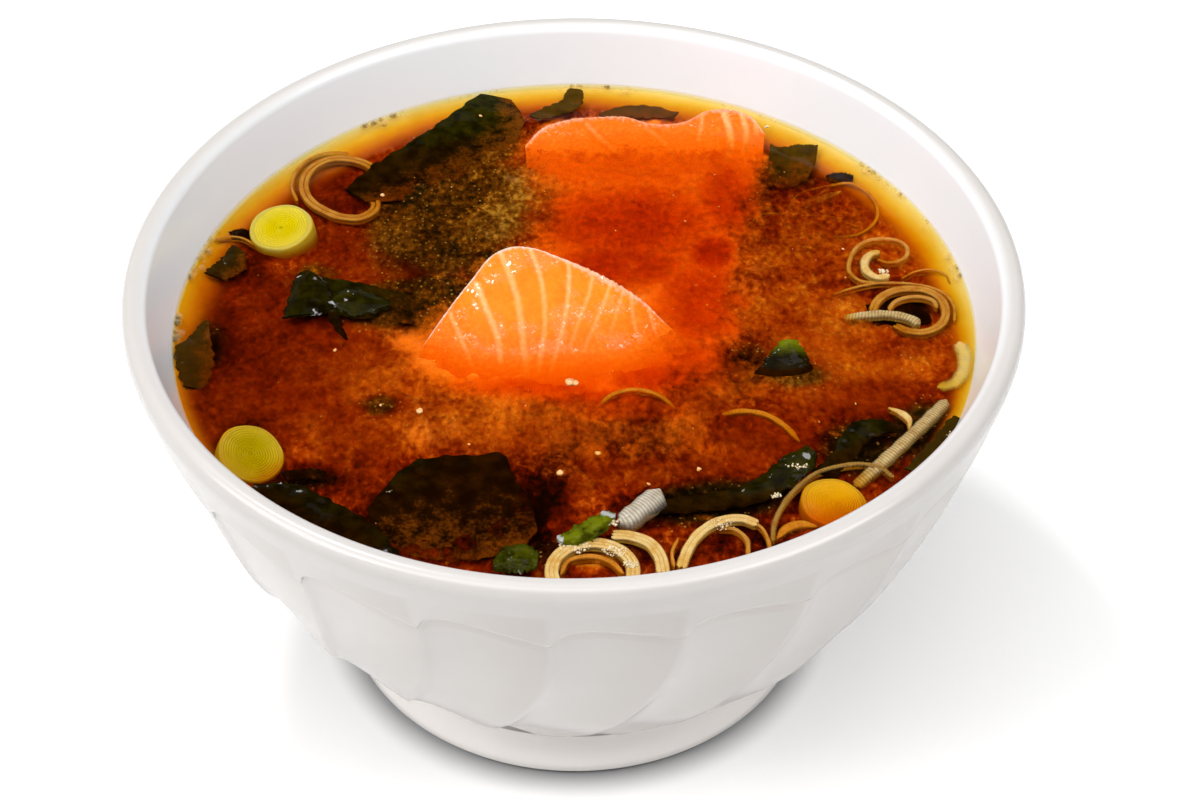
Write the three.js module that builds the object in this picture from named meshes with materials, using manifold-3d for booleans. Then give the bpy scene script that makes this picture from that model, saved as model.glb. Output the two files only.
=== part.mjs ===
// A bowl of miso soup: a footed white bowl with swirled facets, the broth up to its level, two
// pieces of salmon, slices and rings of leek, and leaves of wakame. Millimetres, +Z up. The origin
// is the centre of the foot's base, and -Y is the side that faces the person eating.
import * as THREE from "three";
import { mergeVertices } from "three/addons/utils/BufferGeometryUtils.js";
import Module from "manifold-3d";

const wasm = await Module();
wasm.setup();

// Bowl
const bowlHeight = 81;
const facetCount = 22;
const facetStations = [0, 0.12, 0.34, 0.66]; // where a facet is cut into columns, 0 is its left ridge
const firstRidge = -2.4; // azimuth of one ridge's top end, degrees from -Y towards +X
const facetFootZ = 11;
const facetEndZ = 66; // where two facets' top edges meet on a ridge
const facetArch = 4.6; // how far a facet's top edge rises above that
const facetStep = 0.45; // depth of the step under a facet's top edge
const fluteDepth = 1.0; // how far a facet is hollowed between its ridges
const swirlTurn = 8.5; // degrees that a ridge has turned at swirlZ
const swirlZ = 31;
const swirlPower = 2.2;
const innerSegments = 44;

// Outer wall from the foot's neck to the lip, [radius, height]
const wallProfile = [[43.8, 11], [51.1, 20], [58.5, 30], [64.2, 42], [68.6, 54], [72, 66], [74.2, 75]];
const footProfile = [[42.3, 0], [43, 0.9], [42.4, 3.2], [40.4, 7], [39.8, 9], [41, 10.4]];
const lipProfile = [[74.75, 77.2], [75, 79], [74.55, 80.4], [73.4, bowlHeight]];
const cavityProfile = [
  [0, 12], [18, 12.6], [32, 15.5], [42, 20.5], [50, 28], [56, 37], [60.5, 47], [64.2, 57.5],
  [67.7, 69.7], [70.3, 77.8], [71, 79.6], [71.9, 80.7], [73.3, 81.4],
];
const recessRadius = 37; // hollow under the foot
const recessDepth = 5;

// Broth
const brothLevel = 69.7;
const wallGap = 0.35; // between the broth and the wall
const pieceGap = 0.45; // between the broth and what lies in it
const sharpest = 0.45; // limits how far a sharp corner moves when a shape grows
const pocketDepth = 0.62; // dent that a floating leaf lies in
const leafGap = 0.42; // round the leaf in it

// Leek
const coreRadius = 5.6;
const coreLength = 6;
const coreSegments = 20;
const layerStep = 0.18; // height of the steps between a slice's layers
const ringLow = -1; // a floating ring's lower and upper edge, from the level of the broth
const ringHigh = 0.35;
const stripStep = 2.3; // length of one step along a ring or strip

// Wakame
const leafThickness = 0.5;
const leafLow = -0.3; // lowest point of a floating leaf, from the level of the broth

const glaze = material(0xf4f3f1, 0.16);
const broth = material(0x9a4a12, 0.08);
const salmonFlesh = material(0xf47a2c, 0.32);
const leekYellow = material(0xdcd23a, 0.35);
const leekWhite = material(0xd9c68c, 0.4);
const wakameDark = material(0x1c2410, 0.2);
const wakameGreen = material(0x3d5a14, 0.22);

function material(color, roughness) {
  return new THREE.MeshStandardMaterial({ color, roughness, metalness: 0 });
}

// ---- Closed meshes, and their joins and cuts ----

// A closed skin over a list of loops of points. Each loop has as many points as the others, the
// ends are closed by a fan, and with joinEnds the last loop meets the first.
function skin(loops, joinEnds = false) {
  const size = loops[0].length;
  const positions = loops.flat(2);
  const index = [];
  const spans = joinEnds ? loops.length : loops.length - 1;
  for (let j = 0; j < spans; j++) {
    for (let i = 0; i < size; i++) {
      const a = j * size + i;
      const b = j * size + ((i + 1) % size);
      const above = ((j + 1) % loops.length) * size;
      const c = above + ((i + 1) % size);
      const d = above + i;
      index.push(a, b, c, a, c, d);
    }
  }
  if (!joinEnds) {
    for (const [j, flip] of [[0, true], [loops.length - 1, false]]) {
      const centre = positions.length / 3;
      const loop = loops[j];
      positions.push(...[0, 1, 2].map((k) => loop.reduce((sum, p) => sum + p[k], 0) / size));
      for (let i = 0; i < size; i++) {
        const a = j * size + i;
        const b = j * size + ((i + 1) % size);
        index.push(...(flip ? [b, a, centre] : [a, b, centre]));
      }
    }
  }
  return new THREE.BufferGeometry()
    .setAttribute("position", new THREE.Float32BufferAttribute(positions, 3))
    .setIndex(index);
}

// Only the shared corners of a geometry, turned to face outwards.
function welded(geometry) {
  const bare = new THREE.BufferGeometry().setAttribute("position", geometry.getAttribute("position"));
  if (geometry.index) bare.setIndex(geometry.index);
  const merged = mergeVertices(geometry.index ? bare.toNonIndexed() : bare, 1e-4);
  const kept = [];
  const corners = merged.index.array;
  for (let i = 0; i < corners.length; i += 3) {
    const [a, b, c] = [corners[i], corners[i + 1], corners[i + 2]];
    if (a !== b && b !== c && c !== a) kept.push(a, b, c);
  }
  merged.setIndex(kept);
  if (volumeOf(merged) < 0) {
    for (let i = 0; i < kept.length; i += 3) [kept[i + 1], kept[i + 2]] = [kept[i + 2], kept[i + 1]];
    merged.setIndex(kept);
  }
  return merged;
}

function volumeOf(geometry) {
  const p = geometry.getAttribute("position");
  const corner = (i) => new THREE.Vector3().fromBufferAttribute(p, i);
  let sum = 0;
  const index = geometry.index.array;
  for (let i = 0; i < index.length; i += 3) {
    sum += corner(index[i]).dot(corner(index[i + 1]).cross(corner(index[i + 2]))) / 6;
  }
  return sum;
}

function toSolid(geometry) {
  const merged = welded(geometry);
  return new wasm.Manifold(
    new wasm.Mesh({
      numProp: 3,
      vertProperties: new Float32Array(merged.getAttribute("position").array),
      triVerts: new Uint32Array(merged.index.array),
    }),
  );
}

function toGeometry(solid) {
  const mesh = solid.getMesh();
  return new THREE.BufferGeometry()
    .setAttribute("position", new THREE.Float32BufferAttribute(mesh.vertProperties, 3))
    .setIndex(new THREE.Uint32BufferAttribute(mesh.triVerts, 1));
}

// The geometry with every corner moved out, further where it is sharp, so that each face moves out by
// about the distance.
function grown(geometry, distance) {
  const merged = welded(geometry);
  const p = merged.getAttribute("position");
  const corner = (i) => new THREE.Vector3().fromBufferAttribute(p, i);
  const meeting = Array.from({ length: p.count }, () => []); // the faces' normals at each corner
  const outward = meeting.map(() => new THREE.Vector3());
  const index = merged.index.array;
  for (let i = 0; i < index.length; i += 3) {
    const face = [index[i], index[i + 1], index[i + 2]];
    const normal = new THREE.Triangle(...face.map(corner)).getNormal(new THREE.Vector3());
    face.forEach((k, turn) => {
      const [before, after] = [face[(turn + 2) % 3], face[(turn + 1) % 3]];
      const angle = corner(before).sub(corner(k)).angleTo(corner(after).sub(corner(k)));
      meeting[k].push(normal);
      outward[k].addScaledVector(normal, angle);
    });
  }
  outward.forEach((way, i) => {
    way.normalize();
    const reach = distance / Math.max(sharpest, Math.min(...meeting[i].map((n) => n.dot(way))));
    const moved = corner(i).addScaledVector(way, reach);
    p.setXYZ(i, moved.x, moved.y, moved.z);
  });
  return merged;
}

function lathe(profile, segments) {
  const points = profile.map(([r, z]) => new THREE.Vector2(r, z));
  return new THREE.LatheGeometry(points, segments).rotateX(Math.PI / 2);
}

// Radius at a height, on a smooth curve through [radius, height] points.
function radiusOn(profile) {
  const curve = new THREE.SplineCurve(profile.map(([r, z]) => new THREE.Vector2(r, z)));
  const points = curve.getPoints(80);
  return (z) => {
    const k = Math.max(1, points.findIndex((p) => p.y >= z - 1e-9));
    const [a, b] = [points[k - 1], points[k]];
    return THREE.MathUtils.lerp(a.x, b.x, THREE.MathUtils.clamp((z - a.y) / (b.y - a.y), 0, 1));
  };
}

// Points spaced evenly along a smooth curve through corners of two or three coordinates.
function alongCurve(corners, count, closed = false) {
  const vectors = corners.map(([x, y, z = 0]) => new THREE.Vector3(x, y, z));
  return new THREE.CatmullRomCurve3(vectors, closed, "centripetal").getSpacedPoints(count);
}

// ---- Bowl ----

// Height of a facet's top edge, from its left ridge at 0 to its right one at 1: it rises fast and
// falls slowly.
function facetTop(across) {
  return facetEndZ + facetArch * Math.sin(Math.PI * across ** 0.55);
}

// How far the wall is cut back, by the place across the facet and the drop below its top edge.
function facetRecess(across, drop) {
  const step = facetStep * (0.25 + 0.75 * Math.sin(Math.PI * across ** 0.55));
  const flute = fluteDepth * Math.sin(Math.PI * across ** 0.7);
  return step + flute * (1 - Math.exp(-drop / 14));
}

function swirl(z) {
  return swirlTurn * (Math.max(0, facetEndZ - z) / (facetEndZ - swirlZ)) ** swirlPower;
}

// One loop round the bowl, its points set by the place across a facet.
function bowlLoop(pointAt) {
  const loop = [];
  for (let facet = 0; facet < facetCount; facet++) {
    for (const across of facetStations) {
      const { radius, z } = pointAt(across);
      const turn = firstRidge + ((facet + across) * 360) / facetCount - swirl(Math.max(z, facetFootZ));
      const angle = THREE.MathUtils.degToRad(turn);
      loop.push([radius * Math.sin(angle), -radius * Math.cos(angle), z]);
    }
  }
  return loop;
}

function makeBowl() {
  const wallRadius = radiusOn(wallProfile);
  const stepHeight = 0.9;
  const loops = footProfile.map(([radius, z]) => bowlLoop(() => ({ radius, z })));
  for (const share of [0, 0.1, 0.22, 0.36, 0.52, 0.68, 0.84, 1]) {
    loops.push(
      bowlLoop((across) => {
        const z = THREE.MathUtils.lerp(facetFootZ, facetTop(across) - stepHeight, share);
        return { radius: wallRadius(z) - facetRecess(across, facetTop(across) - stepHeight - z), z };
      }),
    );
  }
  loops.push(bowlLoop((across) => ({ radius: wallRadius(facetTop(across)), z: facetTop(across) })));
  for (const [radius, z] of [wallProfile.at(-1), ...lipProfile]) {
    loops.push(bowlLoop(() => ({ radius, z })));
  }
  const cavity = lathe([...cavityProfile, [0, cavityProfile.at(-1)[1]]], innerSegments);
  const recess = lathe(
    [[0, -1], [recessRadius + 1, -1], [recessRadius, 1], [recessRadius - 3, recessDepth], [0, recessDepth]],
    innerSegments,
  );
  return toGeometry(toSolid(skin(loops)).subtract(toSolid(cavity)).subtract(toSolid(recess)));
}

// ---- Salmon ----

// The front piece: a block with its cut face towards the front. Corners of its ridge and of the
// face's lower front edge, heights from the level of the broth.
const frontRidge = [
  [-25.5, -7.5, -0.6], [-21.5, -1, 1.8], [-17.5, 4, 4.5], [-13.5, 8.2, 6.9], [-10.8, 9.3, 7.4],
  [-7.5, 9, 7.2], [-2.5, 7.2, 6], [3, 4.8, 4.6], [8.5, 1.8, 3], [13, -1, 1.4], [18, -5, -1], [22, -9, -3.4],
];
const frontFaceEdge = [[-28, -17, -5], [-16, -21, -5.6], [0, -22, -6], [12, -19, -6], [23, -13, -6]];
const frontDepth = 9; // its base, below the level

// The back piece: a slab whose back edge just breaks the surface, sloping down towards the front.
const backEdge = [
  [-9.5, 49, -0.4], [-6.5, 53, 0.5], [-2, 55.5, 0.7], [4, 56.6, 0.6], [9, 56.8, 0.5], [14, 55, 0.2],
  [20, 55.3, 0.4], [25, 58.4, 0.9], [29, 58.6, 0.9], [32.5, 56.5, 0.8], [35, 52.5, -0.2],
];
const backFrontEdge = [[-7, 14, -8], [6, 9, -9], [20, 8, -9], [31, 16, -8]];
const backThickness = 6;
const frontDrop = 3; // height of a block's low front side

// A block between an upper edge and a lower front edge: its face bulges between them.
function makeSalmon(upperEdge, lowerEdge, stations, backDrop, backSlope, bulge) {
  const upper = alongCurve(upperEdge, stations);
  const lower = alongCurve(lowerEdge, stations);
  const loops = upper.map((top, i) => {
    const edge = lower[i];
    const end = Math.min(1, 4 * Math.min(i, stations - i) / stations); // the ends are thinner
    const base = edge.z - frontDrop;
    const face = [0.33, 0.66].map((share) => {
      const p = top.clone().lerp(edge, share);
      p.z += bulge * end * Math.sin(Math.PI * share);
      return p.toArray();
    });
    const backFoot = [top.x, top.y + backSlope * end, backDrop(top.z)];
    const frontFoot = [edge.x, edge.y + 2, base];
    return [backFoot, top.toArray(), ...face, edge.toArray(), frontFoot];
  });
  return skin(loops).translate(0, 0, brothLevel);
}

function makeFrontSalmon() {
  return makeSalmon(frontRidge, frontFaceEdge, 16, () => 1 - frontDepth, 3.2, 1.1);
}

function makeBackSalmon() {
  return makeSalmon(backEdge, backFrontEdge, 14, (z) => z - backThickness, -1.5, 0.8);
}

// ---- Leek ----

// A short slice of the leek's pale core, its end stepped at the layers. Its end leans by a tilt
// towards an azimuth, both in degrees.
function makeCore({ x, y, z, tilt, towards, radius = coreRadius, length = coreLength }) {
  const layers = [0.86, 0.64, 0.42, 0.2];
  const profile = [[0, -length], [radius - 0.4, -length], [radius, 0.4 - length], [radius, -0.5]];
  profile.push([radius - 0.3, -0.2]);
  layers.forEach((share, i) => profile.push([radius * share, i % 2 ? 0 : -layerStep]));
  profile.push([0, -layerStep]);
  const core = lathe(profile, coreSegments);
  const lean = THREE.MathUtils.degToRad(towards + 90);
  const axis = new THREE.Vector3(Math.cos(lean), Math.sin(lean), 0);
  core.applyMatrix4(new THREE.Matrix4().makeRotationAxis(axis, THREE.MathUtils.degToRad(tilt)));
  return core.translate(x, y, brothLevel + z);
}

const cores = {
  leek_core_left: { x: -52, y: 22.6, z: 1.2, tilt: 12, towards: 290 },
  leek_core_front_left: { x: -50.3, y: -34.4, z: 0.9, tilt: 16, towards: 335, radius: 5.3, length: 4 },
  leek_core_front_right: { x: 40.9, y: -45.2, z: 0.1, tilt: 8, towards: 312, radius: 5.1, length: 4 },
};

// A bar of layer, standing on edge, that follows a path in plan. Path corners are [x, y, lift].
function makeStrip({ path, width, closed = false, low = ringLow, high = ringHigh }, grow = 0) {
  const corners = path.map(([x, y, lift = 0]) => [x, y, lift]);
  const vectors = corners.map((p) => new THREE.Vector3(...p));
  const curve = new THREE.CatmullRomCurve3(vectors, closed, "centripetal");
  const steps = Math.max(3, Math.round(curve.getLength() / stripStep));
  const points = curve.getSpacedPoints(steps);
  if (closed) points.pop();
  const half = width / 2 + grow;
  const loops = points.map((p, i) => {
    const tangent = curve.getTangentAt(i / steps);
    const side = new THREE.Vector3(tangent.y, -tangent.x, 0).normalize();
    const end = closed ? 0 : (i === 0 ? -grow : 0) + (i === points.length - 1 ? grow : 0);
    const centre = p.clone().addScaledVector(tangent, end);
    const bottom = brothLevel + low + p.z - grow;
    const top = brothLevel + high + p.z + grow;
    const corner = (s, z) => [centre.x + s * side.x * half, centre.y + s * side.y * half, z];
    return [corner(-1, bottom), corner(1, bottom), corner(1, top), corner(-1, top)];
  });
  return skin(loops, closed);
}

// Corners of an ellipse, as a closed path.
function ellipsePath(x, y, halfWidth, halfLength, turn = 0) {
  const a = THREE.MathUtils.degToRad(turn);
  return Array.from({ length: 12 }, (_, i) => {
    const t = (i * Math.PI) / 6;
    const [u, v] = [halfWidth * Math.cos(t), halfLength * Math.sin(t)];
    return [x + u * Math.cos(a) - v * Math.sin(a), y + u * Math.sin(a) + v * Math.cos(a)];
  });
}

const strips = {
  leek_ring_left: { path: ellipsePath(-43.6, 35.4, 6.9, 9.1, 12), width: 1.2, closed: true },
  leek_arc_left: { path: [[-51.6, 33], [-51.9, 39], [-48.8, 44.6], [-43.4, 46.6], [-38.9, 45.2]], width: 0.8 },
  leek_strip_left: { path: [[-63.6, 19.3], [-61.6, 20.9], [-59.2, 21.2]], width: 0.9 },
  leek_coil_right: {
    path: [
      [55.2, 10.6], [51.8, 10], [48.9, 12], [47.8, 16], [49.6, 20], [53.4, 21.4], [57, 20.6], [58.3, 18],
      [57, 15.6], [54.4, 15],
    ],
    width: 1.1,
  },
  leek_curl_right: { path: [[55.3, 12.7, 0.3], [52.9, 12.5, 0.3], [51, 14.4], [51.2, 16.8], [53.2, 18.2]], width: 1.5 },
  leek_arc_right: {
    path: [[45.5, 6.3], [50, 8], [56, 8.2], [61.2, 8.2], [64.6, 5.2], [65.6, 0.5]],
    width: 0.8,
  },
  leek_ring_right: {
    path: [
      [51, 2.9], [52.4, 5.4], [55.6, 6.7], [59.6, 6.4], [62.5, 4], [63.3, 0.4], [61.6, -3], [58.4, -4.2],
      [55, -3.3],
    ],
    width: 1.2,
  },
  leek_curl_inner: { path: [[54.6, 2.9], [56, 4.4], [58.6, 4.8], [60.8, 3.4], [61.4, 0.8]], width: 1.1 },
  leek_end_right: { path: [[47.5, 0.2, -0.3], [51, 0.9, 0.3], [54.6, 0.6, 0.4], [57.6, -1.2, 0.2]], width: 1.8 },
  leek_piece_wall: { path: [[64.1, -6.6, 0.3], [64.8, -10, 0.4], [64, -14, 0.2], [61.8, -17.2]], width: 2.6 },
  leek_strip_ribbed: { path: [[60.6, -21.6, 0.4], [56.8, -25.8, 0.4], [52.3, -31.2, 0.2], [48.6, -35.2]], width: 2.2 },
  leek_hook_right: { path: [[51.4, -23.4], [53.3, -23.5], [53.9, -24.8], [52.8, -27.1]], width: 1 },
  leek_arc_front_right: {
    path: [[31.8, -52.6], [31.1, -49], [32.3, -45.6], [35.6, -41.6], [40, -38.4], [44.6, -36.8], [47.8, -37.2], [50.8, -40.4]],
    width: 1,
  },
  leek_arc_front: { path: [[16, -58], [18.2, -53.2], [21.2, -50.2], [24.8, -48.6], [28.8, -48.2]], width: 1.7 },
  leek_arc_inner: { path: [[25, -51.2], [26.6, -52.8], [26.8, -56]], width: 1.1 },
  leek_arc_outer: { path: [[27.6, -50], [29.3, -51.4], [29.9, -54.6]], width: 1 },
  leek_ring_front: { path: ellipsePath(3.2, -59.4, 6.2, 5.6), width: 1.6, closed: true, high: 0.6 },
  leek_arc_double: { path: [[6.6, -52], [9.9, -53.4], [12, -56.4], [12.6, -60]], width: 1.9, high: 0.6 },
  leek_end_front: {
    path: [[7.4, -48.7, 0.1], [9.4, -46.9, 0.5], [11.6, -45.2, 0.6], [13.6, -43.9, 0.4]],
    width: 3,
    high: 0.7,
  },
};

// ---- Wakame ----

// A floating leaf between two edges, with waves that grow towards its rim. Both faces are split
// alike. Edge corners are [x, y, lift].
function makeLeaf({ edges, along, across, wave = 0.3, seed = 0 }) {
  const [left, right] = edges.map((edge) => alongCurve(edge, along));
  const half = leafThickness / 2;
  const middle = (i, j) => {
    const share = j / across;
    const p = left[i].clone().lerp(right[i], share);
    const rim = 0.4 + 0.6 * Math.abs(2 * share - 1);
    const ripple = Math.sin(0.55 * p.x + 0.8 * p.y + seed) * Math.cos(0.7 * p.x - 0.4 * p.y + 2 * seed);
    p.z += brothLevel + leafLow + half + wave * rim * (1 + ripple);
    return p;
  };
  const loops = left.map((_, i) => {
    const row = Array.from({ length: across + 1 }, (_unused, j) => middle(i, j));
    const lower = row.map((p) => [p.x, p.y, p.z - half]);
    const upper = row.map((p) => [p.x, p.y, p.z + half]).reverse();
    return [...lower, ...upper];
  });
  return skin(loops);
}

const leaves = {
  wakame_back_left: {
    edges: [
      [[-34.9, 35.2], [-34.6, 42, 0.1], [-29.6, 49, 0.3], [-25, 55.2, 0.5], [-20.5, 60.6, 0.5], [-17, 63.6, 0.2]],
      [[-34.4, 33.9], [-29, 35.8], [-21, 41], [-13.5, 48], [-10.3, 54.5], [-12, 60.5]],
    ],
    along: 12, across: 4, wave: 0.35, seed: 1,
  },
  wakame_back: {
    edges: [[[-9, 59, 0], [-5, 61, 0.4], [-2.6, 64.4, 1]], [[-6.6, 57.6], [-1.6, 59, 0.2], [0.6, 63.8, 0.8]]],
    along: 6, across: 2, wave: 0.3, seed: 2,
  },
  wakame_left: {
    edges: [
      [[-49.6, 9.2, 0.4], [-44, 8.6, 1], [-38, 7.2, 0.8], [-31, 5.8, 0.2], [-26.5, 3]],
      [[-49.6, -1, 0.1], [-44, 0.4, 0.8], [-39.5, -4.2, 0.3], [-33, 0, 0.1], [-27, -0.8]],
    ],
    along: 10, across: 4, wave: 0.4, seed: 3,
  },
  wakame_left_small: {
    edges: [[[-64.2, 11, 0], [-61.6, 15, 0.3], [-60.4, 19.2, 0.2]], [[-60.5, 9.5], [-58, 13], [-58.6, 18]]],
    along: 5, across: 2, seed: 4,
  },
  wakame_left_edge: {
    edges: [[[-63.6, -1.5], [-65.4, -6, 0.4], [-65.8, -10.4, 0.2]], [[-62.2, -1.8], [-61, -7], [-61.2, -16]]],
    along: 6, across: 2, seed: 5,
  },
  wakame_front_left: {
    edges: [
      [[-45.4, -42.2, 0.1], [-40, -44.2, 0.3], [-35, -46.8, 0.3], [-31.6, -50.6], [-29.6, -55]],
      [[-48.6, -44.2], [-44.4, -48.4], [-39.8, -52.2], [-35.6, -55.4], [-31.4, -58]],
    ],
    along: 8, across: 3, wave: 0.3, seed: 6,
  },
  wakame_front: {
    edges: [
      [[-30.2, -44.6], [-26.8, -38, 0.2], [-20.8, -35, 0.1], [-14.6, -34.4], [-10, -37.8]],
      [[-26.2, -50.6], [-21, -50.4], [-16, -51.4], [-11, -51], [-7.2, -47.8]],
    ],
    along: 9, across: 4, wave: 0.25, seed: 7,
  },
  wakame_front_bump: {
    edges: [[[-12, -56.4], [-8.6, -54.4, 1.2], [-5.6, -56]], [[-11.2, -58.4], [-8.4, -58, 0.8], [-6, -57.6]]],
    along: 6, across: 3, wave: 0.2, seed: 8,
  },
  wakame_front_green: {
    edges: [[[-2.2, -52.6, 0.2], [2, -49.4, 1.1], [6, -46.9, 0.8]], [[-1, -53.4, 0.2], [2.8, -52.6, 1], [6.4, -49.8, 0.6]]],
    along: 7, across: 3, wave: 0.25, seed: 9,
  },
  wakame_front_right: {
    edges: [
      [[15.6, -45.4], [23, -43.6], [29.6, -39, 0.2], [33.6, -35.4, 1], [36.6, -33, 1.6]],
      [[16.4, -46.6], [24, -46.8], [30.2, -44.2], [34.4, -40.6, 0.4], [38.2, -35.6, 0.6]],
    ],
    along: 10, across: 3, wave: 0.3, seed: 10,
  },
  wakame_right: {
    edges: [
      [[40.6, -34.4], [42.4, -29.8, 0.6], [46, -26.9, 0.5], [49.8, -26.6, 0.1]],
      [[42.8, -35.2], [44.6, -32.6, 0.2], [47.4, -30.6, 0.1], [50.4, -29.2]],
    ],
    along: 7, across: 2, wave: 0.3, seed: 11,
  },
  wakame_tip: {
    edges: [[[30.4, -14.6], [32.6, -12.4, 0.6], [34.4, -9.6, 1.9]], [[39.2, -14.2], [38.2, -12, 0.6], [36.6, -9.4, 1.8]]],
    along: 5, across: 4, wave: 0.1, seed: 12,
  },
  wakame_back_right: {
    edges: [[[36.6, 47.6], [40.4, 48.2, 0.1], [44.2, 47.8, 0.3]], [[35.4, 41], [40, 41.6], [44, 42.8, 0.2]]],
    along: 5, across: 3, wave: 0.25, seed: 13,
  },
  wakame_edge_right: {
    edges: [[[56.4, -32.8], [58.4, -29.4, 0.3], [60.6, -25.8, 0.4]], [[57.6, -33.6], [60, -29.8, 0.2], [61.6, -26]]],
    along: 5, across: 2, wave: 0.2, seed: 14,
  },
};
const greenLeaves = ["wakame_front_green", "wakame_front_bump", "wakame_back_right"];

// The outline of a leaf in plan, widened by the gap, as a block whose base is the pocket's floor.
function leafPocket({ edges, along }) {
  const [left, right] = edges.map((edge) => alongCurve(edge, along));
  const outline = [...left, ...right.reverse()].map((p) => [p.x, p.y]);
  const section = new wasm.CrossSection([outline], "Positive");
  const turned = section.area() > 0 ? section : new wasm.CrossSection([outline.reverse()], "Positive");
  return turned.offset(leafGap, "Miter", 2).simplify(0.12).extrude(6).translate(0, 0, brothLevel - pocketDepth);
}

// ---- Broth ----

// The cavity's shape moved in from the wall, up to the level of the broth.
function brothProfile() {
  const below = cavityProfile.filter(([, z]) => z < brothLevel);
  const inset = below.map(([r, z], i) => {
    const before = below[Math.max(0, i - 1)];
    const after = below[Math.min(below.length - 1, i + 1)];
    const slope = new THREE.Vector2(after[0] - before[0], after[1] - before[1]).normalize();
    return [Math.max(0, r - wallGap * slope.y), z + wallGap * slope.x];
  });
  const radius = radiusOn(cavityProfile.slice(1))(brothLevel) - wallGap;
  return [...inset, [radius, brothLevel], [0, brothLevel]];
}

function makeBroth(sunkPieces) {
  let solid = toSolid(lathe(brothProfile(), innerSegments));
  for (const piece of sunkPieces) solid = solid.subtract(piece);
  const parts = solid.decompose().sort((a, b) => b.volume() - a.volume());
  return toGeometry(parts[0]);
}

// ---- The whole ----

const soup = new THREE.Group();
function add(name, geometry, finish) {
  const mesh = new THREE.Mesh(welded(geometry), finish);
  mesh.name = name;
  soup.add(mesh);
}

const frontSalmon = makeFrontSalmon();
const backSalmon = makeBackSalmon();
const coreShapes = Object.entries(cores).map(([name, core]) => [name, makeCore(core)]);
add("bowl", makeBowl(), glaze);
add("salmon_front", frontSalmon, salmonFlesh);
add("salmon_back", backSalmon, salmonFlesh);
for (const [name, shape] of coreShapes) add(name, shape, leekYellow);
for (const [name, strip] of Object.entries(strips)) add(name, makeStrip(strip), leekWhite);
for (const [name, leaf] of Object.entries(leaves)) {
  add(name, makeLeaf(leaf), greenLeaves.includes(name) ? wakameGreen : wakameDark);
}
const sunk = [
  ...[frontSalmon, backSalmon].map((shape) => toSolid(grown(shape, pieceGap))),
  ...coreShapes.map(([, shape]) => toSolid(grown(shape, pieceGap))),
  ...Object.values(strips).map((strip) => toSolid(makeStrip(strip, pieceGap))),
  ...Object.values(leaves).map(leafPocket),
];
add("broth", makeBroth(sunk), broth);

export default soup;
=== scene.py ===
# A bowl of miso soup: a footed white bowl with swirled facets, clear amber broth over its miso
# cloud, two pieces of salmon, slices and rings of leek, leaves of wakame, bubbles and crumbs.
# Lengths are in millimetres, +Z up, origin at the centre of the foot's base, -Y towards the eater.
import math

import bpy
import numpy as np
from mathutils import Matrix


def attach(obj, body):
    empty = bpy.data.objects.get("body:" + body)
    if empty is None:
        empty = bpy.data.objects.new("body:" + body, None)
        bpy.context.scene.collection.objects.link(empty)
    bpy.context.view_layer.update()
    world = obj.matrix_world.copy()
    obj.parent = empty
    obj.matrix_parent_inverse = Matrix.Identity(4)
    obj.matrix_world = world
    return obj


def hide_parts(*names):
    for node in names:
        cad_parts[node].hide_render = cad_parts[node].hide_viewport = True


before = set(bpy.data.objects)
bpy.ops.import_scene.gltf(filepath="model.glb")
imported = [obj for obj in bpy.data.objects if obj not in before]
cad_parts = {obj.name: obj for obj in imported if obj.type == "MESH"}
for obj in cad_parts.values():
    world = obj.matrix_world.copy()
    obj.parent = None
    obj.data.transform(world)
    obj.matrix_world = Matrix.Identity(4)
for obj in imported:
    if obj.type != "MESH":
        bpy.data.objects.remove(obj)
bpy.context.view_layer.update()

millimetre = 0.001
level = 69.7  # height of the broth
slant = 1.07  # seen from the camera, a point this much higher than the level lies 1 further back


# Smooth curve through corners: cubic pieces whose slopes are the length-weighted mean of the two
# chords that meet there, then as many points as asked at equal lengths.
def pathThrough(corners, count, closed=False):
    p = np.array(corners, float)
    if closed:
        p = np.vstack([p[-1:], p, p[:2]])
    else:
        p = np.vstack([2 * p[:1] - p[1:2], p, 2 * p[-1:] - p[-2:-1]])
    chord = np.maximum(np.linalg.norm(np.diff(p, axis=0), axis=1), 1e-6)[:, None]
    slope = np.diff(p, axis=0) / chord
    tangent = (slope[:-1] * chord[1:] + slope[1:] * chord[:-1]) / (chord[:-1] + chord[1:])
    start, end, step = p[1:-2], p[2:-1], chord[1:-1]
    t = np.linspace(0, 1, 24, endpoint=False)[:, None, None]  # 24 places on each piece
    dense = (
        (2 * t**3 - 3 * t**2 + 1) * start
        + (t**3 - 2 * t**2 + t) * step * tangent[:-1]
        + (3 * t**2 - 2 * t**3) * end
        + (t**3 - t**2) * step * tangent[1:]
    )
    dense = np.vstack([dense.transpose(1, 0, 2).reshape(-1, p.shape[1]), end[-1:]])
    run = np.concatenate([[0], np.cumsum(np.linalg.norm(np.diff(dense, axis=0), axis=1))])
    places = np.linspace(0, run[-1], count, endpoint=not closed)
    return np.stack([np.interp(places, run, column) for column in dense.T], -1)


# Radius at each height on a profile of [radius, height] corners.
def radiusOn(profile, heights):
    curve = pathThrough(profile, 400)
    return np.interp(heights, curve[:, 1], curve[:, 0])


# 0 below low, 1 above high, and 3t^2 - 2t^3 between them.
def softStep(value, low, high):
    t = np.clip((value - low) / (high - low), 0, 1)
    return t * t * (3 - 2 * t)


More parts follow.
